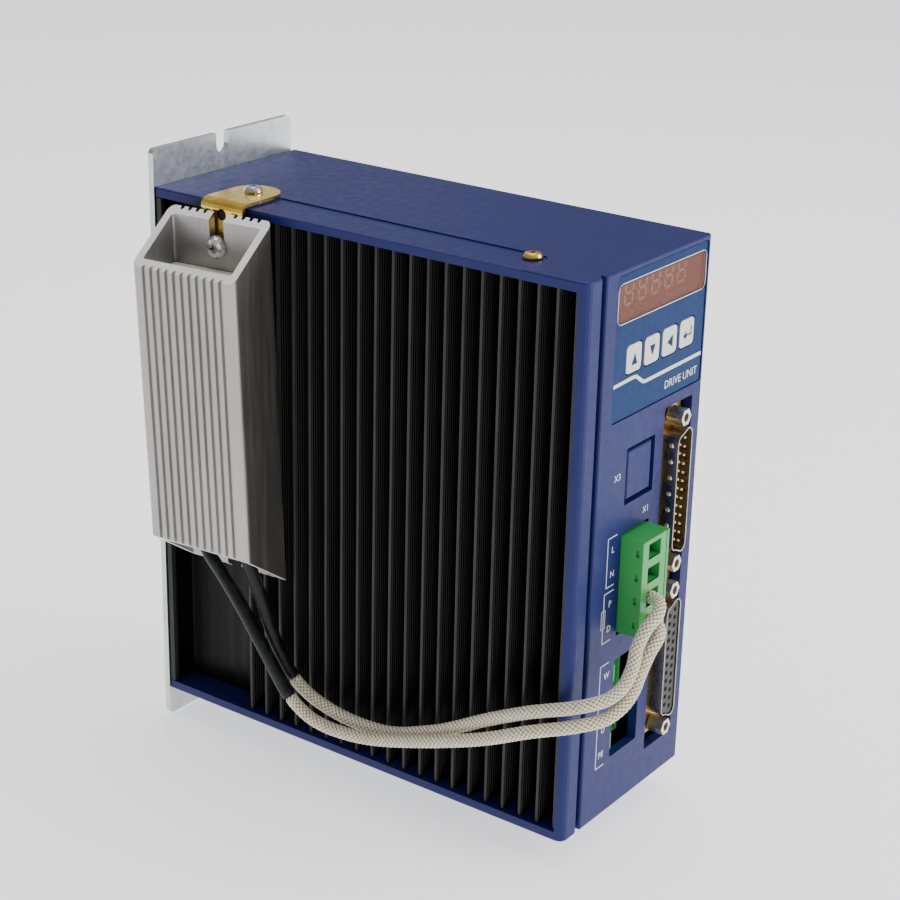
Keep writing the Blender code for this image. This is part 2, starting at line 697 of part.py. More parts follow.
def is_case_rim(a, b):
    """Tells whether an edge runs round the case's top or bottom, the rear edge left out."""
    level = abs(a.z - b.z) < THROUGH / 10
    return level and (a.y < REAR - THROUGH or b.y < REAR - THROUGH)


def lowered_strip():
    """The shallow strip along the top's left edge, which ends in a half circle round the front screw."""
    x, y = SINK_SCREW_AT
    radius = SINK_INNER - x
    outline = [(LEFT - THROUGH, -STRIP_START), (LEFT - THROUGH, y - STRIP_SCREW_REACH)]
    outline += arc((x, y - STRIP_SCREW_REACH + radius), radius, 270, 360, 4)
    outline += [(SINK_INNER, -STRIP_START)]
    return prism(outline, "z", TOP - STRIP_DEPTH, TOP + THROUGH)


def through_front(low, high, corner=OPENING_CORNER):
    """A cutter through the front wall."""
    return prism(rounded(low, high, corner, 2), "y", FRONT - THROUGH, INNER_FRONT + THROUGH)


def front_openings():
    """The recess of the overlay, the holes behind it, and the slots for the connectors and the blank port."""
    recess = rounded((OVERLAY_LEFT, OVERLAY_BOTTOM), (OVERLAY_RIGHT, OVERLAY_TOP), RECESS_CORNER)
    yield prism(recess, "y", FRONT - THROUGH, RECESS_FLOOR)
    yield prism(window_outline(GAP), "y", FRONT - THROUGH, OVERLAY_FACE + WINDOW_THICK + GAP)
    ledge = WINDOW_LEDGE
    low, high = (WINDOW_LEFT + ledge, WINDOW_BOTTOM + ledge), (WINDOW_RIGHT - ledge, WINDOW_TOP - ledge)
    yield through_front(low, high)
    for left in KEY_LEFTS:
        low, high = (left - RUN, KEY_TOP - KEY_TALL - RUN), (left + KEY_SIDE + RUN, KEY_TOP + RUN)
        yield through_front(low, high, KEY_CORNER)
    low, high = (COVER_X0, COVER_HIGH - COVER_HEIGHT), (COVER_X0 + COVER_WIDTH, COVER_HIGH)
    yield through_front(low, high, COVER_OPENING_CORNER)
    for high, low in ((PLUG_HIGH, PLUG_LOW), (MOTOR_HIGH, MOTOR_LOW)):
        left, right = PLUG_LEFT - HEADER_ROOM, PLUG_RIGHT + HEADER_ROOM
        yield through_front((left, low - SLOT_MARGIN), (right, high + SLOT_MARGIN))
    yield through_front((PORT_LEFT, PORT_LOW), (PORT_LEFT + PORT_OPENING_WIDTH, PORT_HIGH))


def screw_holes():
    """The clearance holes in the case's top and bottom, over the heat sink's threads."""
    hole = M3_RADIUS + GAP
    for x, y in (CLIP_SCREW_AT, SINK_SCREW_AT):
        yield prism(circle((x, y), hole, 12), "z", TOP - WALL - THROUGH, TOP + THROUGH)
    yield prism(circle(SINK_SCREW_AT, hole, 12), "z", BOTTOM - THROUGH, BOTTOM + WALL + THROUGH)


def board_bosses():
    """Four round bosses on the right wall that the control board stands against."""
    rear = -CONTROL_BOARD_BACK
    inset = BOSS_RADIUS + THROUGH
    heights = (TOP - CONTROL_BOARD_TOP - inset, BOTTOM + CONTROL_BOARD_BOTTOM + inset)
    foot = CONTROL_FACE + BOARD_THICK + GAP
    for y in (rear - inset, FRONT + CONTROL_BOARD_FRONT + inset):
        for z in heights:
            yield prism(circle((y, z), BOSS_RADIUS, 10), "x", foot, INNER_RIGHT + WALL / 2)


def housing_screws():
    """The two screws that hold the case to the heat sink's front end."""
    x, y = SINK_SCREW_AT
    length = SINK_SCREW_LENGTH
    pan_screw("housing_screw_top", "brass_plate", (x, y, TOP - STRIP_DEPTH), (0, 0, 1), length)
    pan_screw("housing_screw_bottom", "brass_plate", (x, y, BOTTOM), (0, 0, -1), length)


# ---- the brake resistor, in its own frame: the origin is the top of its inner face, outward is -x
def resistor_place():
    """The matrix that hangs the resistor in its clips."""
    turn = Euler((-RESISTOR_LEAN_BACK, -RESISTOR_LEAN_OUT, RESISTOR_TURN), "XYZ").to_matrix().to_4x4()
    return Matrix.Translation((LEFT - RESISTOR_OUT, -RESISTOR_BACK, TOP - RESISTOR_TOP_DROP)) @ turn


def slanted_ends(shape, top, bottom):
    """Moves a tube's end points along its length, so that both ends are cut at a slant."""
    middle = (top + bottom) / 2
    for v in shape.verts:
        share = -v.co.x / RESISTOR_DEPTH
        v.co.z += -RESISTOR_SLANT * share if v.co.z > middle else RESISTOR_SLANT * share
    return shape


def ribbed_profile():
    """The extrusion's outline, with fine grooves along the outer and inner faces."""
    half, deep = RESISTOR_WIDTH / 2, RESISTOR_DEPTH
    pitch = (RESISTOR_WIDTH - 2 * RIB_MARGIN) / RIB_COUNT
    inner, outer = [], []
    for i in range(RIB_COUNT):
        left = -half + RIB_MARGIN + pitch * (i + RIB_START)
        right = left + pitch * RIB_SHARE
        cuts = [(0, left), (RIB_DEPTH, left + RIB_SLOPE), (RIB_DEPTH, right - RIB_SLOPE), (0, right)]
        inner += [(-depth, y) for depth, y in cuts]
        outer += [(-deep + depth, -y) for depth, y in cuts]
    r = RESISTOR_CORNER
    return (
        arc((-r, -half + r), r, 270, 360, 3)
        + inner
        + arc((-r, half - r), r, 0, 90, 3)
        + arc((-deep + r, half - r), r, 90, 180, 3)
        + outer
        + arc((-deep + r, -half + r), r, 180, 270, 3)
    )


def resistor_body():
    place = resistor_place()
    body_shape = slanted_ends(prism(ribbed_profile(), "z", -RESISTOR_LENGTH, 0), 0, -RESISTOR_LENGTH)
    body = piece("resistor_body", "raw_aluminium", moved(body_shape, place))
    wall, half = RESISTOR_WALL, RESISTOR_WIDTH / 2
    inside = rounded((-RESISTOR_DEPTH + wall, -half + wall), (-wall, half - wall), RESISTOR_HOLLOW_CORNER, 2)
    cut(body, moved(prism(inside, "z", -RESISTOR_LENGTH - THROUGH, THROUGH), place))
    for end, inward in ((0.0, -1), (-RESISTOR_LENGTH, 1)):
        middle = (0, end + inward * RESISTOR_SCREW_IN)
        slot = u_slot(middle, SLOT_WIDTH / 2, end - inward * THROUGH, inward, 6)
        cut(body, moved(prism(slot, "x", -wall - THROUGH, THROUGH), place))


def resistor_core():
    """The filling that holds the wound element, cast between the leads' end and the upper screw."""
    room, half = RESISTOR_WALL + GAP, RESISTOR_WIDTH / 2
    low, high = -RESISTOR_LENGTH + RESISTOR_CORE_RISE, -RESISTOR_CORE_DROP
    corner = RESISTOR_HOLLOW_CORNER
    outline = rounded((-RESISTOR_DEPTH + room, -half + room), (-room, half - room), corner, 2)
    core = prism(outline, "z", low, high)
    piece("resistor_core", "filling", moved(core, resistor_place()))


def on_resistor(x, y, z):
    return resistor_place() @ Vector((x, y, z))


def upper_clip():
    """A brass-coloured strap: a round head on the case's top, a bend over its edge, and a leg down."""
    x, y = CLIP_SCREW_AT
    top = TOP + GAP + CLIP_THICK
    leg = on_resistor(0, 0, -RESISTOR_SCREW_IN).x + RESISTOR_TURN * CLIP_LEG_WIDTH / 2 + GAP
    bend = CLIP_BEND
    outer = leg + CLIP_THICK
    ring = arc((leg + bend, top - bend), bend, 90, 180, 4)
    inner = arc((outer + bend - CLIP_THICK, top - bend), bend - CLIP_THICK, 180, 90, 4)
    foot = top - CLIP_LEG_LENGTH
    head = x + CLIP_HEAD_RADIUS
    section = [(head, top), *ring, (leg, foot), (outer, foot), *inner, (head, top - CLIP_THICK)]
    strap = prism(section, "y", y - CLIP_HEAD_RADIUS, y + CLIP_HEAD_RADIUS)
    clip = piece("resistor_clip_top", "brass_plate", strap, smooth=30)
    corner = head + THROUGH
    far = CLIP_HEAD_RADIUS + THROUGH
    for side, turn in ((1, 90), (-1, -90)):
        curve = arc((x, y), CLIP_HEAD_RADIUS, turn, 0, 8)
        corner_tool = [*curve, (corner, y), (corner, y + side * far), (x, y + side * far)]
        cut(clip, prism(corner_tool, "z", top - CLIP_THICK - THROUGH, top + THROUGH))
    low_edge = top - CLIP_BEND_DROP
    for side in (1, -1):
        inner_edge = y + side * CLIP_LEG_WIDTH / 2
        corners = sorted((inner_edge, y + side * far))
        low = (leg - THROUGH, corners[0], foot - THROUGH)
        cut(clip, box(low, (outer + THROUGH / 2, corners[1], low_edge)))
    bore = M3_RADIUS + GAP
    cut(clip, prism(circle((x, y), bore, 12), "z", top - 2 * CLIP_THICK, top + THROUGH))
    seen = top - CLIP_BEND_DROP + CLIP_HOLE
    cut(clip, prism(circle((y, seen), CLIP_HOLE, 12), "x", leg - THROUGH, outer + THROUGH))
    at = on_resistor(0, 0, -RESISTOR_SCREW_IN)
    cut(clip, prism(circle((at.y, at.z), bore + GAP, 12), "x", leg - THROUGH, outer + THROUGH))
    pan_screw("clip_screw_top", "bright_steel", (x, y, top), (0, 0, 1), SINK_SCREW_LENGTH + CLIP_THICK)


def lower_clip_screw():
    """Where the lower clip is screwed down, as (y, z): above the resistor's own screw, clear of the fins."""
    height = on_resistor(0, 0, -RESISTOR_LENGTH + RESISTOR_SCREW_IN).z
    return -FIN_FIRST + CLIP_LEG_WIDTH * 0.6, height + LOWER_CLIP_FOOT + PAN_RADIUS


def lower_clip():
    """A stepped bracket: a foot screwed to the heat sink's bare stretch, and a leg behind the resistor."""
    at = on_resistor(0, 0, -RESISTOR_LENGTH + RESISTOR_SCREW_IN)
    leg = at.x + RESISTOR_TURN * CLIP_LEG_WIDTH / 2 + GAP
    step = at.z + LOWER_CLIP_FOOT / 2
    foot_x = SINK_OUTER - GAP
    screw_y, screw_z = lower_clip_screw()
    fin = -FIN_FIRST + FIN_THICK / 2 + GAP
    section = [
        (leg, at.z - LOWER_CLIP_END),
        (leg + CLIP_THICK, at.z - LOWER_CLIP_END),
        (leg + CLIP_THICK, step - CLIP_THICK),
        (foot_x, step - CLIP_THICK),
        (foot_x, screw_z + PAN_RADIUS + THROUGH),
        (foot_x - CLIP_THICK, screw_z + PAN_RADIUS + THROUGH),
        (foot_x - CLIP_THICK, step),
        (leg, step),
    ]
    half = CLIP_LEG_WIDTH / 2
    strap = prism(section, "y", at.y - half, fin + CLIP_LEG_WIDTH)
    bracket = piece("resistor_clip_bottom", "brass_plate", strap)
    low = (leg + CLIP_THICK + GAP, at.y - CLIP_LEG_WIDTH, at.z - half)
    cut(bracket, box(low, (SINK_OUTER, fin, screw_z + CLIP_LEG_WIDTH)))
    bore = M3_RADIUS + GAP
    upper, lower = circle((at.y, at.z), bore + GAP, 12), circle((screw_y, screw_z), bore, 12)
    cut(bracket, prism(upper, "x", leg - THROUGH, leg + CLIP_THICK + THROUGH))
    cut(bracket, prism(lower, "x", foot_x - CLIP_THICK - THROUGH, foot_x + THROUGH))
    seat = (foot_x - CLIP_THICK, screw_y, screw_z)
    pan_screw("clip_screw_bottom", "bright_steel", seat, (-1, 0, 0), SINK_BASE * 0.6 + CLIP_THICK)


def resistor_screws():
    """The screws inside the resistor's open ends, through its slots into the clips."""
    length = RESISTOR_WALL + 2 * GAP + CLIP_THICK + POINT_LENGTH
    for word, height in (("top", -RESISTOR_SCREW_IN), ("bottom", -RESISTOR_LENGTH + RESISTOR_SCREW_IN)):
        seat, name = (-RESISTOR_WALL, 0, height), f"resistor_screw_{word}"
        pan_screw(name, "bright_steel", seat, (-1, 0, 0), length, resistor_place(), WIDE_PAN_RADIUS)


# ---- the display, its keys and their board
def window_outline(margin):
    low, high = (WINDOW_LEFT - margin, WINDOW_BOTTOM - margin), (WINDOW_RIGHT + margin, WINDOW_TOP + margin)
    return rounded(low, high, WINDOW_CORNER)


def display_overlay():
    """The printed film, with openings for the window and the keys."""
    low, high = (OVERLAY_LEFT + GAP, OVERLAY_BOTTOM + GAP), (OVERLAY_RIGHT - GAP, OVERLAY_TOP - GAP)
    outline = rounded(low, high, RECESS_CORNER - GAP)
    film = piece("display_overlay", "overlay_blue", prism(outline, "y", OVERLAY_FACE, OVERLAY_BACK))
    near, far = OVERLAY_FACE - THROUGH, OVERLAY_BACK + THROUGH
    cut(film, prism(window_outline(GAP), "y", near, far))
    for left in KEY_LEFTS:
        low, high = (left - RUN, KEY_TOP - KEY_TALL - RUN), (left + KEY_SIDE + RUN, KEY_TOP + RUN)
        cut(film, prism(rounded(low, high, KEY_CORNER), "y", near, far))


def display_window():
    window = prism(window_outline(0.0), "y", OVERLAY_FACE, OVERLAY_FACE + WINDOW_THICK)
    piece("display_window", "window_tint", window)


def digit_module():
    """The six-digit display behind the window."""
    x = (WINDOW_LEFT + WINDOW_RIGHT) / 2
    z = (WINDOW_TOP + WINDOW_BOTTOM) / 2
    back = DISPLAY_BOARD_FACE - GAP
    low = (x - DIGITS_WIDTH / 2, back - DIGITS_THICK, z - DIGITS_HEIGHT / 2)
    piece("digit_module", "black_plastic", box(low, (x + DIGITS_WIDTH / 2, back, z + DIGITS_HEIGHT / 2)))


def display_board():
    low = (OVERLAY_LEFT, DISPLAY_BOARD_FACE, KEY_TOP - KEY_TALL - DISPLAY_BOARD_PAST)
    high = (INNER_RIGHT - THROUGH, DISPLAY_BOARD_FACE + BOARD_THICK, TOP - WALL - THROUGH)
    piece("display_board", "circuit_board", box(low, high))


def keys_and_switches():
    """Each key's pad and stem in one piece, and the switch whose well its stem presses into."""
    back = DISPLAY_BOARD_FACE - GAP
    face = OVERLAY_FACE
    z = KEY_TOP - KEY_TALL / 2
    stem_end = back - SWITCH_THICK + SWITCH_WELL - KEY_TRAVEL - GAP
    for word, left in zip(KEY_NAMES, KEY_LEFTS):
        x = left + KEY_SIDE / 2
        pad = rounded((left, KEY_TOP - KEY_TALL), (left + KEY_SIDE, KEY_TOP), KEY_CORNER)
        key = piece(f"key_{word}", "key_white", prism(pad, "y", face, face + KEY_THICK))
        pivot_at(key, (x, face, z))
        weld_on(key, prism(circle((x, z), KEY_STEM, 10), "y", face + KEY_THICK / 2, stem_end))
        half, front = SWITCH_SIDE / 2, back - SWITCH_THICK
        block = box((x - half, front, z - half), (x + half, back, z + half))
        switch = piece(f"switch_{word}", "black_plastic", block)
        well = circle((x, z), KEY_STEM + RUN, 10)
        cut(switch, prism(well, "y", front - THROUGH, front + SWITCH_WELL))


def port_cover():
    """The blank cap of the unused port, with a flange behind the wall."""
    left, right = COVER_X0, COVER_X0 + COVER_WIDTH
    low, high = COVER_HIGH - COVER_HEIGHT, COVER_HIGH
    face, back = FRONT + COVER_SUNK, INNER_FRONT + GAP
    end = back + COVER_FLANGE_THICK
    m, f = COVER_MARGIN, COVER_FLANGE
    cap = box((left + m, face, low + m), (right - m, end, high - m))
    rim_bevel(cap, COVER_EDGE, lambda a, b: max(a.y, b.y) < face + THROUGH / 10)
    cover = piece("blank_port_cover", "blue_plastic", cap)
    weld_on(cover, box((left - f, back, low - f), (right + f, end, high + f)))


# ---- the terminals
def terminal_plug():
    """The pluggable block: a body with a chamber for each pole, and a nose that fits in the header."""
    body = box((PLUG_LEFT, PLUG_FRONT, PLUG_LOW), (PLUG_RIGHT, PLUG_SHOULDER, PLUG_HIGH))
    plug = piece("terminal_plug", "green_plastic", body)
    pivot_at(plug, (PIN_X, PLUG_SHOULDER, (PLUG_LOW + PLUG_HIGH) / 2))
    inset = HEADER_WALL + RUN
    low = (PLUG_LEFT + inset, PLUG_SHOULDER - THROUGH, PLUG_LOW + inset)
    weld_on(plug, box(low, (PLUG_RIGHT - inset, NOSE_END, PLUG_HIGH - inset)))
    for i in range(POLE_COUNT):
        cut(plug, *pole_hollows(pole_middle(PLUG_HIGH, i)))


def pole_hollows(z):
    """One pole's cutters: the cage's chamber, the wire's entry, the screw's bore, a slot, the pin's hole."""
    front = PLUG_FRONT + ENTRY_DEPTH
    left = PLUG_LEFT + CHAMBER_LEFT
    right = left + CHAMBER_LENGTH
    half = CHAMBER_TALL / 2
    yield box((left, front, z - half), (right, front + CHAMBER_DEEP, z + half))
    half = ENTRY_TALL / 2
    yield box((ENTRY_X, PLUG_FRONT - THROUGH, z - half), (ENTRY_X + ENTRY_WIDTH, front + THROUGH, z + half))
    yield prism(circle((CLAMP_Y, z), CLAMP_HEAD_RADIUS + GAP, 12), "x", right - THROUGH, PLUG_RIGHT + THROUGH)
    y, wide, half = PLUG_FRONT + SIDE_SLOT_BACK, SIDE_SLOT_WIDTH / 2, SIDE_SLOT_TALL / 2
    yield box((PLUG_LEFT - THROUGH, y - wide, z - half), (PLUG_LEFT + SIDE_SLOT_DEPTH, y + wide, z + half))
    room = PIN_SIDE / 2 + PIN_ROOM
    low = (PIN_X - room, HEADER_FLOOR - PIN_LENGTH - GAP, z - room)
    yield box(low, (PIN_X + room, NOSE_END + THROUGH, z + room))


def clamps():
    """Each pole's screw, turning in the plug, and the cage that it draws up round a wire."""
    for i in range(POLE_COUNT):
        z = pole_middle(PLUG_HIGH, i)
        clamp_cage(f"clamp_cage_{i + 1}", z, CAGE_GRIP if i in LEAD_POLES else 0.0)
        clamp_screw(f"clamp_screw_{i + 1}", z)


def clamp_cage(name, z, rise):
    left = CAGE_LEFT + rise
    right = left + CAGE_LENGTH
    front, back = CLAMP_Y - CAGE_DEEP / 2, CLAMP_Y + CAGE_DEEP / 2
    half, w = CAGE_TALL / 2, CAGE_WALL
    cage = piece(name, "bright_steel", box((left, front, z - half), (right, back, z + half)))
    pivot_at(cage, (left, CLAMP_Y, z))
    window = box((left + w, front - THROUGH, z - half + w), (right - w, back + THROUGH, z + half - w))
    bore = circle((CLAMP_Y, z), CLAMP_SHANK + GAP, 10)
    cut(cage, window, prism(bore, "x", right - w - THROUGH, right + THROUGH))


def clamp_screw(name, z):
    head, tall = CLAMP_HEAD_RADIUS, CLAMP_HEAD_HEIGHT
    profile = [(CLAMP_SHANK, -CLAMP_LENGTH), (CLAMP_SHANK, 0.0), (head, 0.0), (head, tall)]
    seat = (PLUG_RIGHT - CLAMP_HEAD_SUNK - tall, CLAMP_Y, z)
    place = facing(seat, (1, 0, 0))
    screw = piece(name, "bright_steel", moved(turned(profile, 12), place), smooth=40)
    pivot_at(screw, seat)
    half = CLAMP_SLOT / 2
    slot = box((-head * 2, -half, tall * CLAMP_SLOT_FLOOR), (head * 2, half, tall * 2))
    cut(screw, moved(slot, place))


def pin_header(name, front, high):
    """A shrouded four-pole header with its pins, open towards the front."""
    low = high - PLUG_LENGTH
    block = box((PLUG_LEFT, front, low), (PLUG_RIGHT, front + HEADER_END - HEADER_FRONT, high))
    header = piece(name, "green_plastic", block)
    w = HEADER_WALL
    floor = front + HEADER_FLOOR - HEADER_FRONT
    cut(header, box((PLUG_LEFT + w, front - THROUGH, low + w), (PLUG_RIGHT - w, floor, high - w)))
    half = PIN_SIDE / 2
    for i in range(POLE_COUNT):
        z = pole_middle(high, i)
        low = (PIN_X - half, floor - PIN_LENGTH, z - half)
        weld_on(header, box(low, (PIN_X + half, floor + THROUGH, z + half)))
    return header


def terminal_headers():
    pin_header("input_header", HEADER_FRONT, PLUG_HIGH)
    motor = pin_header("motor_header", MOTOR_FRONT, MOTOR_HIGH)
    past, left = MOTOR_FRONT - THROUGH, PLUG_LEFT + HEADER_WALL
    low = (left, past, MOTOR_LOW - THROUGH)
    cut(motor, box(low, (PLUG_RIGHT + THROUGH, MOTOR_FRONT + LOW_WALLS, MOTOR_HIGH + THROUGH)))
    for i in range(POLE_COUNT + 1):
        z, half = MOTOR_HIGH - POLE_PITCH * i, NOTCH_TALL / 2
        low = (PLUG_LEFT - THROUGH, past, z - half)
        cut(motor, box(low, (left + THROUGH, MOTOR_FRONT + NOTCH_REACH, z + half)))


# ---- the two 25-way signal connectors
def d_outline(middle_z, inset):
    """The connector's outline, whose long side is to the right."""
    half, wide = SHELL_LONG / 2 - inset, SHELL_SHORT / 2 - inset
    r = SHELL_CORNER - inset
    lean = wide * math.tan(SHELL_TAPER)
    points = []
    for sx, sz, start in ((1, 1, 0), (-1, 1, 90), (-1, -1, 180), (1, -1, 270)):
        reach = half + (lean if sx > 0 else -lean)
        middle = (PORT_X + sx * (wide - r), middle_z + sz * (reach - r))
        points += arc(middle, r, start, start + 90, 4)
    return points


def signal_port(name, drop, sunk):
    """A right-angle 25-way connector: the metal shell with its flange, and the insulator that fills it."""
    z = TOP - drop
    half, wide = FLANGE_LENGTH / 2, FLANGE_WIDTH / 2
    flange = rounded((PORT_X - wide, z - half), (PORT_X + wide, z + half), FLANGE_CORNER, 2)
    shell = piece(f"{name}_shell", "nickel", prism(flange, "y", FLANGE_FACE, FLANGE_FACE + FLANGE_THICK))
    weld_on(shell, prism(d_outline(z, 0), "y", SHELL_RIM, FLANGE_FACE + FLANGE_THICK / 2))
    flange_back = FLANGE_FACE + FLANGE_THICK
    cut(shell, prism(d_outline(z, SHELL_METAL), "y", SHELL_RIM - THROUGH, flange_back + THROUGH))
    for end in (1, -1):
        hole = circle((PORT_X, z + end * JACK_SPACING / 2), JACK_SHANK + GAP, 10)
        cut(shell, prism(hole, "y", FLANGE_FACE - THROUGH, flange_back + THROUGH))
    back = flange_back + GAP
    fill = prism(d_outline(z, SHELL_METAL + GAP), "y", SHELL_RIM + sunk, back + BLOCK_DEPTH / 2)
    insulator = piece(f"{name}_insulator", "black_plastic", fill, smooth=30)
    half, wide = BLOCK_LENGTH / 2, BLOCK_WIDTH / 2
    weld_on(insulator, box((PORT_X - wide, back, z - half), (PORT_X + wide, back + BLOCK_DEPTH, z + half)))
    for word, end in (("top", 1), ("bottom", -1)):
        jack_screw(f"{name}_jackscrew_{word}", z + end * JACK_SPACING / 2)


def jack_screw(name, z):
    """A hexagonal standoff with a threaded bore, screwed through the flange."""
    seat = FLANGE_FACE - GAP
    across = JACK_ACROSS / math.cos(math.radians(30)) / 2
    hexagon = prism(circle((PORT_X, z), across, 6), "y", JACK_TIP, seat)
    jack = piece(name, "nickel", hexagon)
    weld_on(jack, prism(circle((PORT_X, z), JACK_SHANK, 10), "y", seat - THROUGH, seat + JACK_SHANK_LENGTH))
    cut(jack, prism(circle((PORT_X, z), JACK_BORE, 12), "y", JACK_TIP - THROUGH, seat - THROUGH))


# ---- inside
def boards():
    """The control board behind the signal connectors, and the power board beside the heat sink."""
    front = FRONT + CONTROL_BOARD_FRONT
    low = (CONTROL_FACE, front, BOTTOM + CONTROL_BOARD_BOTTOM)
    high = (CONTROL_FACE + BOARD_THICK, -CONTROL_BOARD_BACK, TOP - CONTROL_BOARD_TOP)
    piece("control_board", "circuit_board", box(low, high))
    front = FRONT + POWER_BOARD_FRONT
    low = (POWER_FACE - BOARD_THICK, front, BOTTOM + POWER_BOARD_BOTTOM)
    high = (POWER_FACE, -POWER_BOARD_BACK, TOP - POWER_BOARD_TOP)
    piece("power_board", "circuit_board", box(low, high))


def between_sink_and_board(name, size, back, rise):
    """A flat power part whose back is against the heat sink."""
    deep, tall = size
    low = (SINK_INNER + GAP, -back - deep, rise - tall / 2)
    high = (POWER_FACE - BOARD_THICK - GAP, -back, rise + tall / 2)
    piece(name, "black_plastic", box(low, high))


def on_power_board(name, finish, size, back, rise):
    """A block on the power board's open side."""
    thick, deep, tall = size
    low = (POWER_FACE + GAP, -back - deep, rise - tall / 2)
    piece(name, finish, box(low, (POWER_FACE + GAP + thick, -back, rise + tall / 2)))


def capacitors():
    """The two bulk capacitors, standing on the power board."""
    r, edge, far = CAPACITOR_RADIUS, CAPACITOR_EDGE, CAPACITOR_LENGTH
    profile = [(r - edge, 0.0), (r, edge), (r, far - edge), (r - edge, far)]
    for i, back in enumerate(CAPACITOR_BACK):
        place = facing((POWER_FACE + GAP, -back - r, CAPACITOR_RISE), (1, 0, 0))
        piece(f"bulk_capacitor_{i + 1}", "capacitor_sleeve", moved(turned(profile, 20), place), smooth=40)


def insides():
    boards()
    between_sink_and_board("power_module", MODULE_SIZE, MODULE_BACK, MODULE_RISE)
    between_sink_and_board("rectifier_bridge", BRIDGE_SIZE, BRIDGE_BACK, BRIDGE_RISE)
    capacitors()
    on_power_board("transformer", "transformer_tape", TRANSFORMER_SIZE, TRANSFORMER_BACK, TRANSFORMER_RISE)
    on_power_board("inrush_relay", "black_plastic", RELAY_SIZE, RELAY_BACK, RELAY_RISE)


# ---- the resistor's leads
def leads():
    """Each lead as a braided tube to the plug, after a first stretch in black sleeving."""
    for number, route, sleeved in ((1, LEAD_1_ROUTE, LEAD_1_SLEEVED), (2, LEAD_2_ROUTE, LEAD_2_SLEEVED)):
        whole = smooth_route(route, LEAD_SPACING)
        last = round(sleeved / LEAD_SPACING)
        parting = (whole[last] + whole[last + 1]) / 2
        half_gap = (whole[last + 1] - whole[last]).normalized() * GAP / 2
        covered = [*whole[: last + 1], parting - half_gap]
        tube(f"lead_sleeve_{number}", "black_sleeving", covered, SLEEVE_RADIUS)
        tube(f"lead_{number}", "glass_braid", [parting + half_gap, *whole[last + 1 :]], LEAD_RADIUS)


def build():
    for old in list(bpy.data.objects):
        bpy.data.objects.remove(old, do_unlink=True)
    mounting_plate()
    plate_screws()
    heat_sink()
    housing()
    housing_screws()
    resistor_body()
    resistor_core()
    upper_clip()
    lower_clip()
    resistor_screws()
    display_overlay()
    display_window()
    digit_module()
    display_board()
    keys_and_switches()
    port_cover()
    terminal_plug()
    clamps()
    terminal_headers()
    signal_port("upper_port", UPPER_PORT, PINS_SUNK)
    signal_port("lower_port", LOWER_PORT, SOCKETS_SUNK)
    insides()
    leads()


build()
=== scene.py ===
"""The look of the servo drive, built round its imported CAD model.

Metres, in the model's own frame: +Z up, the front panel towards -Y.
"""

import math

import bmesh
import bpy
import numpy as np
from mathutils import Euler, Matrix, Vector


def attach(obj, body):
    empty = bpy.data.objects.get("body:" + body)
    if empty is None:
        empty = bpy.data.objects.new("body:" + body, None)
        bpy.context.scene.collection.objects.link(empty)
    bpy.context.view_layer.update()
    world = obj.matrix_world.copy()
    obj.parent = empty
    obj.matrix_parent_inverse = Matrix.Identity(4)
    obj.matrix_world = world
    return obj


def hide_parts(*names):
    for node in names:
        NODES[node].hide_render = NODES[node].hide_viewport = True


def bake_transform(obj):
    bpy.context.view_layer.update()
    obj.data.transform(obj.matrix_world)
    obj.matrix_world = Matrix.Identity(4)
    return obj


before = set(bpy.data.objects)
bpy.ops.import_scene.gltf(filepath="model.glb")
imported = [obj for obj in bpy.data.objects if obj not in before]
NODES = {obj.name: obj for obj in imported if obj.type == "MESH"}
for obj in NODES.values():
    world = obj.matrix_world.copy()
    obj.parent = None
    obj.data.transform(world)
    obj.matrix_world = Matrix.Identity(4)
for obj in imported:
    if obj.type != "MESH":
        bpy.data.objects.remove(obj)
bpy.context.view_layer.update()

MM = 0.001

# ---------------------------------------------------------------- sizes shared with the CAD model, in metres
CASE_LEFT, CASE_FRONT = -0.0332, -0.1597
RESISTOR_ORIGIN = Vector((-0.0370, -0.0326, 0.0844))
RESISTOR_TURN, RESISTOR_LEAN_OUT, RESISTOR_LEAN_BACK = math.radians(2.7), math.radians(1.4), math.radians(1.3)
RESISTOR_WIDTH, RESISTOR_DEPTH, RESISTOR_LENGTH, RESISTOR_SLANT = 0.0390, 0.0197, 0.1164, 0.0143
RESISTOR_WALL, RESISTOR_SCREW_IN, RESISTOR_SLOT = 0.0026, 0.0100, 0.0055
SINK_INNER, SINK_OUTER, SINK_REAR, SINK_END = -0.0180, -0.0238, -0.0023, -0.1564
SINK_FLANGE, SINK_REACH = 0.0020, 0.0831
FIN_FIRST, FIN_PITCH, FIN_THICK, FIN_COUNT, FIN_TIP = 0.0372, 0.00624, 0.0011, 20, -0.0320
OVERLAY_FACE, OVERLAY_TOP, OVERLAY_BOTTOM = -0.15945, 0.0848, 0.0415
WINDOW = (-0.0163, 0.0309, 0.0707, 0.0816)
DIGITS_FACE = -0.1548
KEY_LEFTS, KEY_TOP, KEY_SIDE, KEY_TALL = (-0.01075, -0.0010, 0.00875, 0.0185), 0.0629, 0.0079, 0.0083
PORT_X, UPPER_PORT_Z, LOWER_PORT_Z, SHELL_RIM, FLANGE_FACE = 0.0200, 0.0103, -0.0456, -0.1628, -0.1569
PLUG_RIGHT, PLUG_HIGH, PLUG_FRONT, POLE_PITCH = 0.0062, 0.0044, -0.1672, 0.00762
LEAD_RADIUS, SLEEVE_RADIUS, LEAD_SPACING, GAP = 0.0020, 0.0022, 0.006, 0.0003

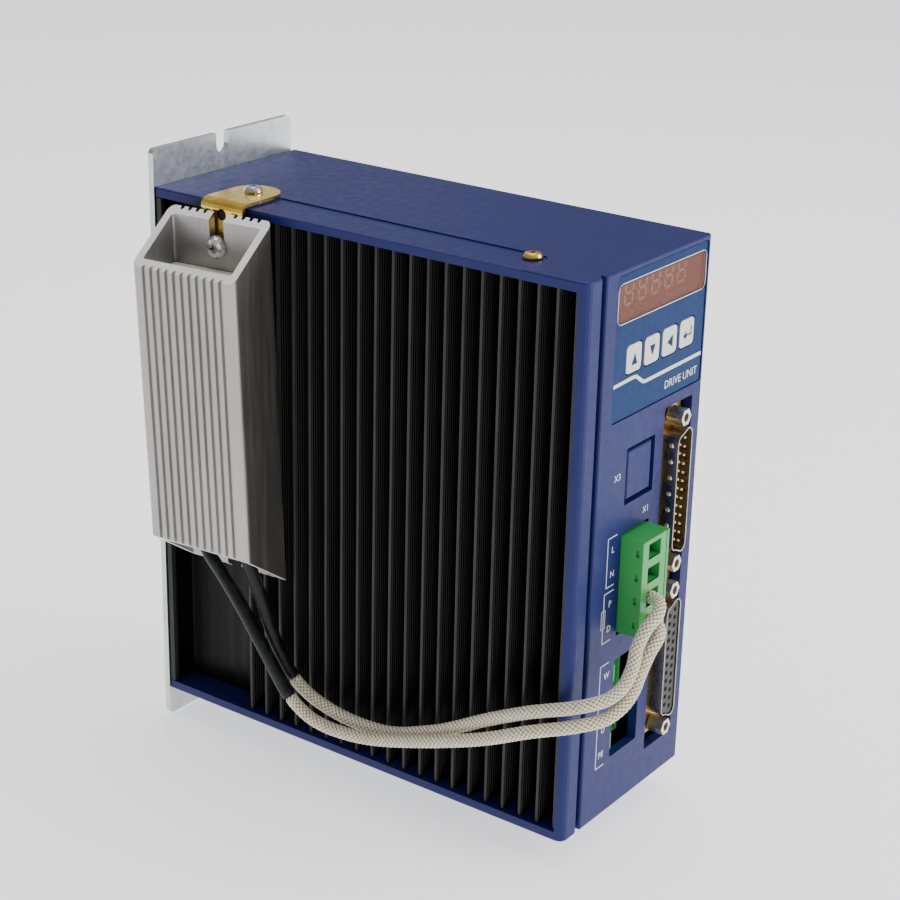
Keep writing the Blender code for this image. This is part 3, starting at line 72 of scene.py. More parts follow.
# The resistor leads' routes, as the CAD model has them, with how much of each the sleeving covers.
LEAD_ROUTES = {
    1: (
        0.061,
        (
            (-0.0450, -0.0268, -0.0135),
            (-0.0450, -0.0288, -0.0183),
            (-0.0452, -0.0320, -0.0236),
            (-0.0456, -0.0385, -0.0300),
            (-0.0456, -0.0450, -0.0373),
            (-0.0448, -0.0555, -0.0526),
            (-0.0437, -0.0624, -0.0635),
            (-0.0427, -0.0688, -0.0693),
            (-0.0418, -0.0750, -0.0717),
            (-0.0412, -0.0836, -0.0720),
            (-0.0410, -0.0931, -0.0707),
            (-0.0409, -0.1047, -0.0675),
            (-0.0409, -0.1208, -0.0619),
            (-0.0407, -0.1366, -0.0556),
            (-0.0400, -0.1514, -0.0485),
            (-0.0367, -0.1639, -0.0440),
            (-0.0300, -0.1705, -0.0421),
            (-0.0251, -0.1728, -0.0395),
            (-0.0202, -0.1734, -0.0361),
            (-0.0165, -0.1734, -0.0314),
            (-0.0132, -0.1738, -0.0268),
            (-0.0095, -0.1739, -0.0241),
            (-0.0060, -0.1727, -0.0228),
            (-0.0032, -0.1701, -0.0223),
            (-0.0019, -0.1670, -0.0223),
            (-0.0018, -0.1646, -0.0223),
        ),
    ),
    2: (
        0.049,
        (
            (-0.0442, -0.0436, -0.0135),
            (-0.0437, -0.0453, -0.0190),
            (-0.0430, -0.0472, -0.0252),
            (-0.0415, -0.0506, -0.0361),
            (-0.0402, -0.0541, -0.0480),
            (-0.0385, -0.0586, -0.0587),
            (-0.0370, -0.0642, -0.0652),
            (-0.0364, -0.0719, -0.0685),
            (-0.0362, -0.0818, -0.0701),
            (-0.0362, -0.0918, -0.0699),
            (-0.0362, -0.1015, -0.0680),
            (-0.0365, -0.1179, -0.0610),
            (-0.0374, -0.1343, -0.0515),
            (-0.0384, -0.1501, -0.0432),
            (-0.0358, -0.1633, -0.0384),
            (-0.0297, -0.1703, -0.0361),
            (-0.0242, -0.1724, -0.0332),
            (-0.0203, -0.1727, -0.0287),
            (-0.0175, -0.1722, -0.0238),
            (-0.0143, -0.1726, -0.0195),
            (-0.0101, -0.1733, -0.0168),
            (-0.0062, -0.1724, -0.0154),
            (-0.0033, -0.1700, -0.0148),
            (-0.0019, -0.1670, -0.0147),
            (-0.0018, -0.1646, -0.0147),
        ),
    ),
}
BRAID_YARNS = 8  # in each direction
BRAID_LIFT = 0.00020

# ---------------------------------------------------------------- camera
camera = bpy.data.objects.new("camera", bpy.data.cameras.new("camera"))
bpy.context.scene.collection.objects.link(camera)
camera.data.lens = 82.78
camera.data.sensor_width = 36
camera.data.clip_start = 0.01
VIEW_RIGHT = Vector((0.590654, -0.806646, 0.021214))
VIEW_UP = Vector((0.284609, 0.232856, 0.929933))
VIEW_BACK = Vector((-0.755066, -0.543232, 0.367116))
VIEW_TURN = Matrix((VIEW_RIGHT, VIEW_UP, VIEW_BACK)).transposed().to_4x4()
camera.matrix_world = Matrix.Translation((-0.48192, -0.43855, 0.24627)) @ VIEW_TURN
bpy.context.scene.camera = camera


# ---------------------------------------------------------------- materials
class Value:
    """A number in a material's node tree, so that shader maths reads as arithmetic."""

    def __init__(self, paint, socket):
        self.paint, self.socket = paint, socket

    def maths(self, operation, *others):
        """This number put through a Math node."""
        return self.paint.node("ShaderNodeMath", {"operation": operation}, self, *others)

    def __add__(self, other):
        return self.maths("ADD", other)

    def __mul__(self, other):
        return self.maths("MULTIPLY", other)

    __radd__ = __add__
    __rmul__ = __mul__


class Paint:
    """A material being built: a Principled BSDF and the nodes that feed it."""

    def __init__(self, name, colour, **numbers):
        self.material = bpy.data.materials.new(name)
        self.material.use_nodes = True
        self.tree = self.material.node_tree
        self.shader = self.tree.nodes["Principled BSDF"]
        self.shader.inputs["Base Color"].default_value = (*colour, 1)
        for socket, number in numbers.items():
            self.shader.inputs[socket.replace("_", " ").title().replace("Ior", "IOR")].default_value = number
        self._place = None

    def put(self, socket, given):
        """Links a value to a socket, or sets the socket's own number or colour."""
        if isinstance(given, Value):
            self.tree.links.new(given.socket, socket)
        elif isinstance(given, (tuple, list)) and len(given) == 3 and socket.type == "RGBA":
            socket.default_value = (*given, 1)
        else:
            socket.default_value = given

    def node(self, kind, settings=None, *numbered, output=0, **named):
        """A node of this kind: its settings, then its inputs by number or by name. Gives one output."""
        made = self.tree.nodes.new(kind)
        for setting, choice in (settings or {}).items():
            setattr(made, setting, choice)
        for i, given in enumerate(numbered):
            self.put(made.inputs[i], given)
        for socket, given in named.items():
            self.put(made.inputs[socket.replace("_", " ")], given)
        return Value(self, made.outputs[output])

    def feed(self, socket, value):
        """Puts a value on one of the shader's own sockets."""
        self.put(self.shader.inputs[socket], value)
        return self

    def place(self, stretch=(1, 1, 1)):
        """Positions on the piece, in metres, stretched."""
        if self._place is None:
            self._place = self.node("ShaderNodeTexCoord", output=3)
        if stretch == (1, 1, 1):
            return self._place
        return self.node("ShaderNodeVectorMath", {"operation": "MULTIPLY"}, self._place, stretch)

    def noise(self, scale, detail=3.0, stretch=(1, 1, 1), roughness=0.55):
        """Soft noise, of this many features to a metre."""
        given = {"Vector": self.place(stretch), "Scale": scale, "Detail": detail, "Roughness": roughness}
        return self.node("ShaderNodeTexNoise", None, **given)

    def cells(self, scale, stretch=(1, 1, 1), output=0):
        """Cells: each point's distance from its cell's middle, or its cell's colour."""
        return self.node("ShaderNodeTexVoronoi", None, Vector=self.place(stretch), Scale=scale, output=output)

    def spread(self, value, low, high, to_low, to_high):
        """The value's range low to high mapped to another, and clamped."""
        return self.node("ShaderNodeMapRange", None, value, low, high, to_low, to_high)

    def mixed(self, share, first, second):
        """A colour between two, by share."""
        made = self.tree.nodes.new("ShaderNodeMix")
        made.data_type = "RGBA"
        for i, given in ((0, share), (6, first), (7, second)):
            self.put(made.inputs[i], given)
        return Value(self, made.outputs[2])

    def stored(self, name):
        """A number stored on the mesh's points."""
        return self.node("ShaderNodeAttribute", {"attribute_name": name}, output=2)

    def bumps(self, *heights):
        """Feeds the normal from (height, distance in metres) pairs, one bump after another."""
        normal = None
        for height, distance in heights:
            given = {"Strength": 1.0, "Distance": distance, "Height": height}
            if normal is not None:
                given["Normal"] = normal
            normal = self.node("ShaderNodeBump", None, **given)
        return self.feed("Normal", normal)


def moulded(name, colour, roughness, grain=2600, grain_depth=0.000018, **numbers):
    """Moulded plastic: a fine spark-eroded grain, with faint cloudiness in its tone and its shine."""
    paint = Paint(name, colour, roughness=roughness, **numbers)
    cloud = paint.noise(60, 4)
    light = tuple(min(1.0, c * 1.06 + 0.0005) for c in colour)
    dark = tuple(c * 0.94 for c in colour)
    paint.feed("Base Color", paint.mixed(paint.spread(cloud, 0.3, 0.7, 0, 1), dark, light))
    paint.feed("Roughness", paint.spread(paint.noise(350, 3), 0.3, 0.7, roughness - 0.05, roughness + 0.07))
    paint.bumps((paint.noise(grain, 2), grain_depth))
    return paint


def metal(name, colour, roughness, streaks=(1, 1, 1), streak_scale=900, depth=0.000006, **numbers):
    """Bare or plated metal: drawn or rolled streaks in its shine, and faint stains."""
    paint = Paint(name, colour, roughness=roughness, metallic=1.0, **numbers)
    line = paint.noise(streak_scale, 3, streaks)
    stain = paint.noise(70, 4)
    dark = tuple(c * 0.82 for c in colour)
    paint.feed("Base Color", paint.mixed(paint.spread(stain, 0.35, 0.7, 0, 1), colour, dark))
    wear = line * 0.7 + stain * 0.3
    paint.feed("Roughness", paint.spread(wear, 0.3, 0.7, roughness * 0.75, min(1.0, roughness * 1.35)))
    paint.bumps((line, depth))
    return paint


def zinc():
    """Bright zinc plate with cloudy spangle and fine rolling lines."""
    paint = Paint("zinc_plate", (0.62, 0.65, 0.67), roughness=0.34, metallic=1.0)
    spangle = paint.cells(420, output=1)
    grey = paint.node("ShaderNodeSeparateColor", None, spangle)
    cloud = paint.noise(38, 5)
    tone = paint.spread(cloud * 0.88 + grey * 0.12, 0.3, 0.7, 0, 1)
    paint.feed("Base Color", paint.mixed(tone, (0.50, 0.53, 0.54), (0.72, 0.74, 0.74)))
    paint.feed("Roughness", paint.spread(grey * 0.15 + paint.noise(500, 3) * 0.85, 0.2, 0.8, 0.26, 0.42))
    paint.bumps((paint.noise(700, 3, (1, 1, 0.15)), 0.000010))
    return paint


def passivated():
    """Yellow-passivated zinc, whose gold runs to bronze and a little green."""
    paint = Paint("brass_plate", (0.78, 0.50, 0.12), roughness=0.24, metallic=1.0)
    sheen = paint.spread(paint.noise(110, 4), 0.35, 0.65, 0, 1)
    gold = paint.mixed(sheen, (0.95, 0.68, 0.17), (0.82, 0.52, 0.08))
    green = paint.spread(paint.noise(75, 2, (1, 1.7, 0.8)), 0.56, 0.72, 0, 0.22)
    paint.feed("Base Color", paint.mixed(green, gold, (0.50, 0.52, 0.16)))
    paint.feed("Roughness", paint.spread(paint.noise(800, 3), 0.3, 0.7, 0.18, 0.32))
    paint.bumps((paint.noise(1400, 2), 0.0000015))
    return paint


def plated_shell():
    """The signal ports' shells: dull nickel at the rim, yellow-passivated towards the flange."""
    paint = Paint("nickel_shell", (0.50, 0.45, 0.38), roughness=0.28, metallic=1.0)
    depth = paint.node("ShaderNodeSeparateXYZ", None, paint.place(), output=1)
    yellow = paint.spread(depth, FLANGE_FACE - 0.0012, FLANGE_FACE - 0.0002, 0, 1)
    stain = paint.spread(paint.noise(240, 4), 0.3, 0.7, 0, 1)
    nickel = paint.mixed(stain, (0.56, 0.51, 0.44), (0.36, 0.31, 0.25))
    gold = paint.mixed(stain, (0.74, 0.55, 0.20), (0.52, 0.34, 0.11))
    paint.feed("Base Color", paint.mixed(yellow, nickel, gold))
    paint.feed("Roughness", paint.spread(stain, 0, 1, 0.22, 0.36))
    paint.bumps((paint.noise(900, 3), 0.000008))
    return paint


def anodised():
    """Black anodised extrusion: die lines along it, and a painted grey highlight along the fins' tips, broken
    up by noise.
    """
    numbers = {"roughness": 0.40, "metallic": 0.2, "specular_ior_level": 0.16}
    paint = Paint("black_anodised", (0.006, 0.006, 0.007), **numbers)
    lines = paint.noise(900, 3, (1, 1, 0.012))
    across = paint.node("ShaderNodeSeparateXYZ", None, paint.place())
    tip = paint.spread(across, FIN_TIP + 0.0009, FIN_TIP + 0.0001, 0, 1)
    # painted highlight: grey along the outer edge of each fin's tip, where the fins catch the light, broken
    # up by noise
    tip_highlight = tip * paint.spread(paint.noise(420, 4, (1, 1, 0.15)), 0.25, 0.75, 0.55, 1.0)
    paint.feed("Base Color", paint.mixed(tip_highlight, (0.003, 0.003, 0.0035), (0.048, 0.048, 0.048)))
    paint.feed("Roughness", paint.spread(lines, 0.3, 0.7, 0.28, 0.46))
    paint.bumps((lines, 0.000020), (paint.noise(3000, 2), 0.000006))
    return paint


def extruded():
    """Clear extruded aluminium: soft grey, with die lines along the resistor and small pits."""
    paint = Paint("raw_aluminium", (0.62, 0.61, 0.59), roughness=0.40, metallic=0.92)
    lines = paint.noise(1300, 4, (1, 1, 0.02))
    cloud = paint.noise(45, 4, (1, 1, 0.5))
    tone = paint.spread(lines * 0.35 + cloud * 0.65, 0.3, 0.7, 0, 1)
    pit = paint.spread(paint.cells(190, (1, 1, 0.6)), 0.035, 0.075, 1, 0)
    grey = paint.mixed(tone, (0.34, 0.335, 0.325), (0.46, 0.45, 0.435))
    paint.feed("Base Color", paint.mixed(pit * 0.5, grey, (0.30, 0.27, 0.22)))
    paint.feed("Roughness", paint.spread(lines, 0.3, 0.7, 0.30, 0.50))
    paint.bumps((lines, 0.000018), (pit, -0.00002))
    return paint


def cement():
    """The cast filling: rough, off-white and speckled."""
    paint = Paint("filling", (0.62, 0.60, 0.55), roughness=0.9)
    speck = paint.spread(paint.cells(900), 0.1, 0.4, 0, 1)
    paint.feed("Base Color", paint.mixed(speck, (0.42, 0.40, 0.36), (0.68, 0.66, 0.60)))
    paint.bumps((paint.noise(500, 5), 0.00025))
    return paint


def printed_film():
    """The overlay's blue print under a satin face, with a pale cast towards its lower edge."""
    paint = Paint("overlay_blue", (0.009, 0.050, 0.180), roughness=0.46, specular_ior_level=0.12)
    height = paint.node("ShaderNodeSeparateXYZ", None, paint.place(), output=2)
    fade = paint.spread(height, OVERLAY_BOTTOM, OVERLAY_TOP, 1, 0) * 0.5 + paint.noise(90, 3) * 0.3
    paint.feed("Base Color", paint.mixed(fade, (0.004, 0.026, 0.115), (0.009, 0.042, 0.145)))
    paint.feed("Roughness", paint.spread(paint.noise(500, 3), 0.3, 0.7, 0.42, 0.55))
    paint.bumps((paint.noise(2400, 2), 0.000012))
    return paint


def tinted():
    """The window's rosy tint, a little cloudy, through which the digits show faintly."""
    paint = Paint("window_tint", (0.30, 0.10, 0.06), roughness=0.38, alpha=0.45, specular_ior_level=0.3)
    cloud = paint.spread(paint.noise(150, 3), 0.3, 0.7, 0, 1)
    paint.feed("Base Color", paint.mixed(cloud, (0.24, 0.078, 0.045), (0.29, 0.098, 0.060)))
    paint.feed("Roughness", paint.spread(cloud, 0, 1, 0.34, 0.42))
    return paint


def board_mask():
    """Green solder mask over copper tracks."""
    paint = Paint("circuit_board", (0.02, 0.14, 0.05), roughness=0.35)
    track = paint.spread(paint.cells(140, (1, 1, 1.6)), 0.30, 0.34, 0, 1)
    paint.feed("Base Color", paint.mixed(track, (0.030, 0.21, 0.075), (0.012, 0.10, 0.035)))
    paint.bumps((track, -0.00003))
    return paint


def braided():
    """Woven glass braid: cream yarns, with painted shade in the gaps between them, and loose fibres' fuzz."""
    paint = Paint("glass_braid", (0.72, 0.68, 0.57), roughness=0.85, sheen_weight=0.25)
    raised = paint.stored("raised")
    tone = paint.mixed(paint.noise(130, 3), (1.0, 0.93, 0.75), (0.88, 0.79, 0.59))
    # painted shade: dark brown where the yarns sink into the gaps between them
    paint.feed("Base Color", paint.mixed(paint.spread(raised, 0.12, 0.62, 0, 1), (0.16, 0.12, 0.06), tone))
    paint.feed("Roughness", paint.spread(raised, 0, 1, 0.95, 0.75))
    paint.bumps((paint.noise(9000, 2), 0.00006))
    return paint


def sleeving():
    """Black silicone sleeving: dull, a little dusty, with soft creases."""
    paint = Paint("black_sleeving", (0.006, 0.006, 0.007), roughness=0.48, specular_ior_level=0.3)
    dust = paint.spread(paint.noise(260, 5), 0.52, 0.75, 0, 1)
    paint.feed("Base Color", paint.mixed(dust * 0.5, (0.005, 0.005, 0.006), (0.045, 0.048, 0.055)))
    paint.feed("Roughness", paint.spread(dust, 0, 1, 0.42, 0.66))
    paint.bumps((paint.noise(420, 3), 0.00010))
    return paint


def floor_paper():
    """The studio's white paper."""
    paint = Paint("studio_paper", (0.90, 0.90, 0.90), roughness=0.9, emission_strength=1.0)
    paint.feed("Base Color", paint.mixed(paint.noise(3, 2), (0.89, 0.89, 0.89), (0.91, 0.91, 0.91)))
    return paint


FINISHES = {
    "blue_plastic": moulded("blue_plastic", (0.0105, 0.0165, 0.118), 0.44, specular_ior_level=0.24),
    "black_anodised": anodised(),
    "zinc_plate": zinc(),
    "brass_plate": passivated(),
    "raw_aluminium": extruded(),
    # the resistor's sawn ends: bare cut metal, made near-white and barely metallic as a painted highlight
    # where the rims catch the light
    "cut_aluminium_highlight": moulded("cut_aluminium_highlight", (0.93, 0.925, 0.91), 0.40, 1800, 0.000010, metallic=0.3),
    "bright_steel": metal("bright_steel", (0.70, 0.69, 0.66), 0.20),
    "filling": cement(),
    "overlay_blue": printed_film(),
    "window_tint": tinted(),
    "key_white": moulded("key_white", (0.74, 0.74, 0.71), 0.42, 1800, 0.000008),
    "green_plastic": moulded("green_plastic", (0.040, 0.36, 0.075), 0.40, 2200, 0.000010, coat_weight=0.1),
    "black_plastic": moulded("black_plastic", (0.012, 0.012, 0.012), 0.42),
    "circuit_board": board_mask(),
    "nickel": metal("nickel", (0.80, 0.74, 0.64), 0.34),
    "nickel_shell": plated_shell(),
    "gold_plate": metal("gold_plate", (0.90, 0.60, 0.20), 0.22, depth=0.000002),
    "capacitor_sleeve": moulded("capacitor_sleeve", (0.02, 0.02, 0.03), 0.35),
    "transformer_tape": moulded("transformer_tape", (0.70, 0.55, 0.10), 0.50),
    "black_sleeving": sleeving(),
    "glass_braid": braided(),
    "white_print": moulded("white_print", (0.80, 0.80, 0.80), 0.5, 3000, 0.000004),
    "blue_print": moulded("blue_print", (0.006, 0.016, 0.085), 0.5, 3000, 0.000004, specular_ior_level=0.15),
    "digit_tint": moulded("digit_tint", (1.0, 0.90, 0.82), 0.5, 3000, 0.000004),
    "digit_face": moulded("digit_face", (0.13, 0.035, 0.022), 0.5, 3000, 0.000004),
}


# ---------------------------------------------------------------- modelling tools
def prism(outline, axis, start, end):
    """An outline pulled along an axis. Its points are (y, z), (x, z) or (x, y), for the axis x, y or z."""
    shape = bmesh.new()
    spots = {
        "x": lambda a, b, t: (t, a, b),
        "y": lambda a, b, t: (a, t, b),
        "z": lambda a, b, t: (a, b, t),
    }[axis]
    first = [shape.verts.new(spots(a, b, start)) for a, b in outline]
    last = [shape.verts.new(spots(a, b, end)) for a, b in outline]
    shape.faces.new(first)
    shape.faces.new(last[::-1])
    for i in range(len(outline)):
        j = (i + 1) % len(outline)
        shape.faces.new((first[i], last[i], last[j], first[j]))
    bmesh.ops.recalc_face_normals(shape, faces=shape.faces)
    return shape


def box(low, high):
    """A block between two corners."""
    corners = [(low[0], low[1]), (high[0], low[1]), (high[0], high[1]), (low[0], high[1])]
    return prism(corners, "z", low[2], high[2])


def arc(middle, radius, start, end, steps):
    """Points on an arc, from one angle to another in degrees."""
    turns = [math.radians(start + (end - start) * i / steps) for i in range(steps + 1)]
    return [(middle[0] + radius * math.cos(t), middle[1] + radius * math.sin(t)) for t in turns]


def circle(middle, radius, sides):
    """Points on a circle."""
    return arc(middle, radius, 0, 360, sides)[:-1]


def rounded(low, high, radius, steps=4):
    """A rectangle with round corners."""
    (x0, y0), (x1, y1) = low, high
    return (
        arc((x1 - radius, y1 - radius), radius, 0, 90, steps)
        + arc((x0 + radius, y1 - radius), radius, 90, 180, steps)
        + arc((x0 + radius, y0 + radius), radius, 180, 270, steps)
        + arc((x1 - radius, y0 + radius), radius, 270, 360, steps)
    )


def turned(profile, sides):
    """A turned solid about Z. Its profile's points are (radius, height). A radius of 0 ends it in a point."""
    shape = bmesh.new()
    rings = []
    for radius, height in profile:
        ring = [(0.0, 0.0)] if radius == 0 else circle((0, 0), radius, sides)
        rings.append([shape.verts.new((x, y, height)) for x, y in ring])
    for lower, upper in zip(rings, rings[1:]):
        for i in range(sides):
            j = (i + 1) % sides
            corners = [lower[i % len(lower)], lower[j % len(lower)]]
            corners += [upper[j % len(upper)], upper[i % len(upper)]]
            shape.faces.new(list(dict.fromkeys(corners)))
    for ring in (rings[0], rings[-1]):
        if len(ring) > 1:
            shape.faces.new(ring)
    bmesh.ops.recalc_face_normals(shape, faces=shape.faces)
    return shape


def moved(shape, matrix):
    """The same shape, put in another place."""
    bmesh.ops.transform(shape, matrix=matrix, verts=shape.verts)
    return shape


def facing(point, outward):
    """The matrix that puts a piece made along +Z at a point, looking outward."""
    return Matrix.Translation(point) @ Vector(outward).to_track_quat("Z", "Y").to_matrix().to_4x4()


def gathered(shapes):
    """Several shapes as one."""
    whole = bmesh.new()
    for shape in shapes:
        mesh = bpy.data.meshes.new("part")
        shape.to_mesh(mesh)
        shape.free()
        whole.from_mesh(mesh)
        bpy.data.meshes.remove(mesh)
    return whole


def add(name, finish, shape, body="drive", smooth=30, bevel=None, stands_for=()):
    """A visible piece that moves with a CAD body."""
    mesh = bpy.data.meshes.new(name)
    shape.to_mesh(mesh)
    shape.free()
    made = bpy.data.objects.new(name, mesh)
    bpy.context.scene.collection.objects.link(made)
    mesh.materials.append(FINISHES[finish].material)
    if smooth:
        mesh.shade_smooth()
        mesh.set_sharp_from_angle(angle=math.radians(smooth))
    if bevel:
        soften(made, bevel)
    if stands_for:
        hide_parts(*stands_for)
    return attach(made, body)


def soften(target, width, segments=2, angle=35):
    """Rounded edges whose shading stays flat on the faces between them."""
    change = target.modifiers.new("edges", "BEVEL")
    change.width = width
    change.segments = segments
    change.limit_method = "ANGLE"
    change.angle_limit = math.radians(angle)
    change.harden_normals = False
    change.use_clamp_overlap = True
    normals = target.modifiers.new("normals", "WEIGHTED_NORMAL")
    normals.keep_sharp = False
    normals.weight = 80
    return target


def hollow(target, shape):
    """Cuts the shape out of a piece, with a hidden object."""
    mesh = bpy.data.meshes.new(f"{target.name}_cut")
    shape.to_mesh(mesh)
    shape.free()
    tool = bpy.data.objects.new(f"{target.name}_cut", mesh)
    bpy.context.scene.collection.objects.link(tool)
    tool.hide_render = True
    tool.hide_viewport = True
    change = target.modifiers.new("cut", "BOOLEAN")
    change.operation = "DIFFERENCE"
    change.object = tool
    return target


def finish_node(name, finish, bevel=None, segments=2):
    """Gives a CAD node its finish and, if wanted, rounded edges."""
    node = NODES[name]
    node.data.materials.clear()
    node.data.materials.append(FINISHES[finish].material)
    if bevel:
        soften(node, bevel, segments)
    return node


# ---------------------------------------------------------------- case, plate and heat sink
def case_and_plate():
    """The moulded case, the plate behind it, the blank port's cover and their screws."""
    normals = finish_node("housing", "blue_plastic").modifiers.new("normals", "WEIGHTED_NORMAL")
    normals.keep_sharp = False
    normals.weight = 90
    finish_node("mounting_plate", "zinc_plate", 0.00035)
    finish_node("blank_port_cover", "blue_plastic", 0.00018)
    for name in ("housing_screw_top", "housing_screw_bottom"):
        finish_node(name, "brass_plate", 0.00012, 1)
    for name in ("plate_screw_top", "plate_screw_bottom"):
        finish_node(name, "bright_steel")


RIB_SPACING, RIB_LIFT = 0.00105, 0.00020


def ribbed_side(y, outward, from_x, to_x):
    """The points of one fin side, with fine ribs, from one X to another. It looks outward along Y."""
    count = max(1, round(abs(to_x - from_x) / RIB_SPACING))
    step = (to_x - from_x) / count
    points = []
    for i in range(count):
        x = from_x + step * i
        points += [(x, y), (x + step * 0.30, y)]
        points += [(x + step * 0.48, y + outward * RIB_LIFT), (x + step * 0.66, y)]
    return [*points, (to_x, y)]


def heat_sink():
    """The extrusion with its fins' rounded tips, root fillets and fine side ribs."""
    fillet, tip = 0.0006, 0.00035
    inward = FIN_TIP + tip
    outline = [(SINK_INNER, SINK_REAR), (CASE_LEFT + 0.0002, SINK_REAR), (CASE_LEFT, SINK_REAR - 0.0002)]
    outline += [(CASE_LEFT, SINK_REAR - SINK_FLANGE), (SINK_OUTER - 0.0015, SINK_REAR - SINK_FLANGE)]
    outline += [(SINK_OUTER - 0.0004, SINK_REAR - SINK_FLANGE - 0.0004)]
    outline += [(SINK_OUTER, SINK_REAR - SINK_FLANGE - 0.0015)]
    for i in range(FIN_COUNT):
        back = -FIN_FIRST - FIN_PITCH * i + FIN_THICK / 2
        front = back - FIN_THICK
        outline += [(SINK_OUTER, back + fillet), (SINK_OUTER - fillet * 0.3, back + fillet * 0.3)]
        outline += ribbed_side(back, 1, SINK_OUTER - fillet, inward)
        outline += [(FIN_TIP + 0.0001, back - 0.0001), (FIN_TIP, back - tip)]
        outline += [(FIN_TIP, front + tip), (FIN_TIP + 0.0001, front + 0.0001)]
        outline += ribbed_side(front, -1, inward, SINK_OUTER - fillet)
        outline += [(SINK_OUTER - fillet * 0.3, front - fillet * 0.3), (SINK_OUTER, front - fillet)]
    outline += [(SINK_OUTER, SINK_END), (SINK_INNER, SINK_END)]
    fins = prism(outline, "z", -SINK_REACH, SINK_REACH)
    add("heat_sink_fins", "black_anodised", fins, smooth=40, stands_for=["heat_sink"])


# ---------------------------------------------------------------- the brake resistor
RESISTOR_LEAN = Euler((-RESISTOR_LEAN_BACK, -RESISTOR_LEAN_OUT, RESISTOR_TURN), "XYZ")
RESISTOR_PLACE = Matrix.Translation(RESISTOR_ORIGIN) @ RESISTOR_LEAN.to_matrix().to_4x4()
GROOVE_COUNT, GROOVE_MARGIN, GROOVE_DEPTH, GROOVE_SHARE = 11, 0.0034, 0.00105, 0.50
RESISTOR_CORNER = 0.0022
BACK_GROOVE_SKIP = 0.0046  # no grooves this near the middle of the inner face, where the slot is


GROOVE_FORM = (
    (0.0, 0.0),
    (0.05, 0.12),
    (0.10, 0.55),
    (0.22, 0.90),
    (0.5, 1.0),
    (0.78, 0.90),
    (0.90, 0.55),
    (0.95, 0.12),
    (1.0, 0.0),
)  # shares of a groove's width and depth


def groove(face, inward, start, end):
    """One groove's points, from start to end along a face at that X, with soft lips and a round floor."""
    wide = end - start
    return [(face + inward * GROOVE_DEPTH * deep, start + wide * share) for share, deep in GROOVE_FORM]


def resistor_outline():
    """The extrusion's section: grooves in the inner and the outer face, round corners between them."""
    half, deep, r = RESISTOR_WIDTH / 2, RESISTOR_DEPTH, RESISTOR_CORNER
    pitch = (RESISTOR_WIDTH - 2 * GROOVE_MARGIN) / GROOVE_COUNT
    reach = pitch * GROOVE_SHARE / 2
    inner, outer = [], []
    for i in range(GROOVE_COUNT):
        middle = -half + GROOVE_MARGIN + pitch * (i + 0.5)
        if abs(middle) > BACK_GROOVE_SKIP:
            inner += groove(0.0, -1, middle - reach, middle + reach)
        outer += groove(-deep, 1, -middle + reach, -middle - reach)
    return (
        arc((-r, -half + r), r, 270, 360, 5)
        + inner
        + arc((-r, half - r), r, 0, 90, 5)
        + arc((-deep + r, half - r), r, 90, 180, 5)
        + outer
        + arc((-deep + r, -half + r), r, 180, 270, 5)
    )


def resistor():
    """The slant-cut extrusion with grooved faces, open at both ends, its filling and its screws."""
    shape = prism(resistor_outline(), "z", -RESISTOR_LENGTH, 0)
    for v in shape.verts:
        share = -v.co.x / RESISTOR_DEPTH
        v.co.z += -RESISTOR_SLANT * share if v.co.z > -RESISTOR_LENGTH / 2 else RESISTOR_SLANT * share
    shape.normal_update()
    for face in shape.faces:
        face.material_index = 1 if abs(face.normal.z) > 0.5 else 0
    moved(shape, RESISTOR_PLACE)
    body = add("resistor_extrusion", "raw_aluminium", shape, smooth=50, stands_for=["resistor_body"])
    # the end faces get the cut finish: sawn metal, painted near-white as a highlight
    body.data.materials.append(FINISHES["cut_aluminium_highlight"].material)
    wall, half, past = RESISTOR_WALL, RESISTOR_WIDTH / 2, 0.001
    inside = rounded((-RESISTOR_DEPTH + wall, -half + wall), (-wall, half - wall), 0.0007, 3)
    hollow(body, moved(prism(inside, "z", -RESISTOR_LENGTH - past, past), RESISTOR_PLACE))
    for end, inward in ((0.0, -1), (-RESISTOR_LENGTH, 1)):
        turn = 180 if inward < 0 else 0
        ends = arc((0, end + inward * RESISTOR_SCREW_IN), RESISTOR_SLOT / 2, turn, turn + 180, 10)
        mouth = end - inward * past
        slot = [*ends, (ends[-1][0], mouth), (ends[0][0], mouth)]
        hollow(body, moved(prism(slot, "x", -wall - past, past), RESISTOR_PLACE))
    finish_node("resistor_core", "filling")
    for word in ("top", "bottom"):
        finish_node(f"resistor_screw_{word}", "bright_steel", 0.00012, 1)
        finish_node(f"clip_screw_{word}", "bright_steel", 0.00012, 1)
        finish_node(f"resistor_clip_{word}", "brass_plate", 0.00018)
    bore, rim, seated, thick, sides = 0.0015, 0.0036, 0.00002, 0.00024, 28
    for height, name in ((-RESISTOR_SCREW_IN, "top"), (-RESISTOR_LENGTH + RESISTOR_SCREW_IN, "bottom")):
        profile = [(bore, seated), (rim, seated), (rim, seated + thick), (bore, seated + thick)]
        ring = turned(profile, sides)
        close_bore(ring, sides)
        seat = RESISTOR_PLACE @ Vector((-wall, 0, height))
        away = RESISTOR_PLACE.to_3x3() @ Vector((-1, 0, 0))
        add(f"resistor_washer_{name}", "bright_steel", moved(ring, facing(seat, away)), bevel=0.00005)


def close_bore(shape, sides):
    """Turns the two end discs of a turned ring into its bore."""
    discs = [f for f in shape.faces if len(f.verts) == sides]
    low, high = discs
    first = sorted(low.verts, key=lambda v: math.atan2(v.co.y, v.co.x))
    last = sorted(high.verts, key=lambda v: math.atan2(v.co.y, v.co.x))
    bmesh.ops.delete(shape, geom=discs, context="FACES_ONLY")
    for i in range(sides):
        j = (i + 1) % sides
        shape.faces.new((first[i], first[j], last[j], last[i]))
    bmesh.ops.recalc_face_normals(shape, faces=shape.faces)


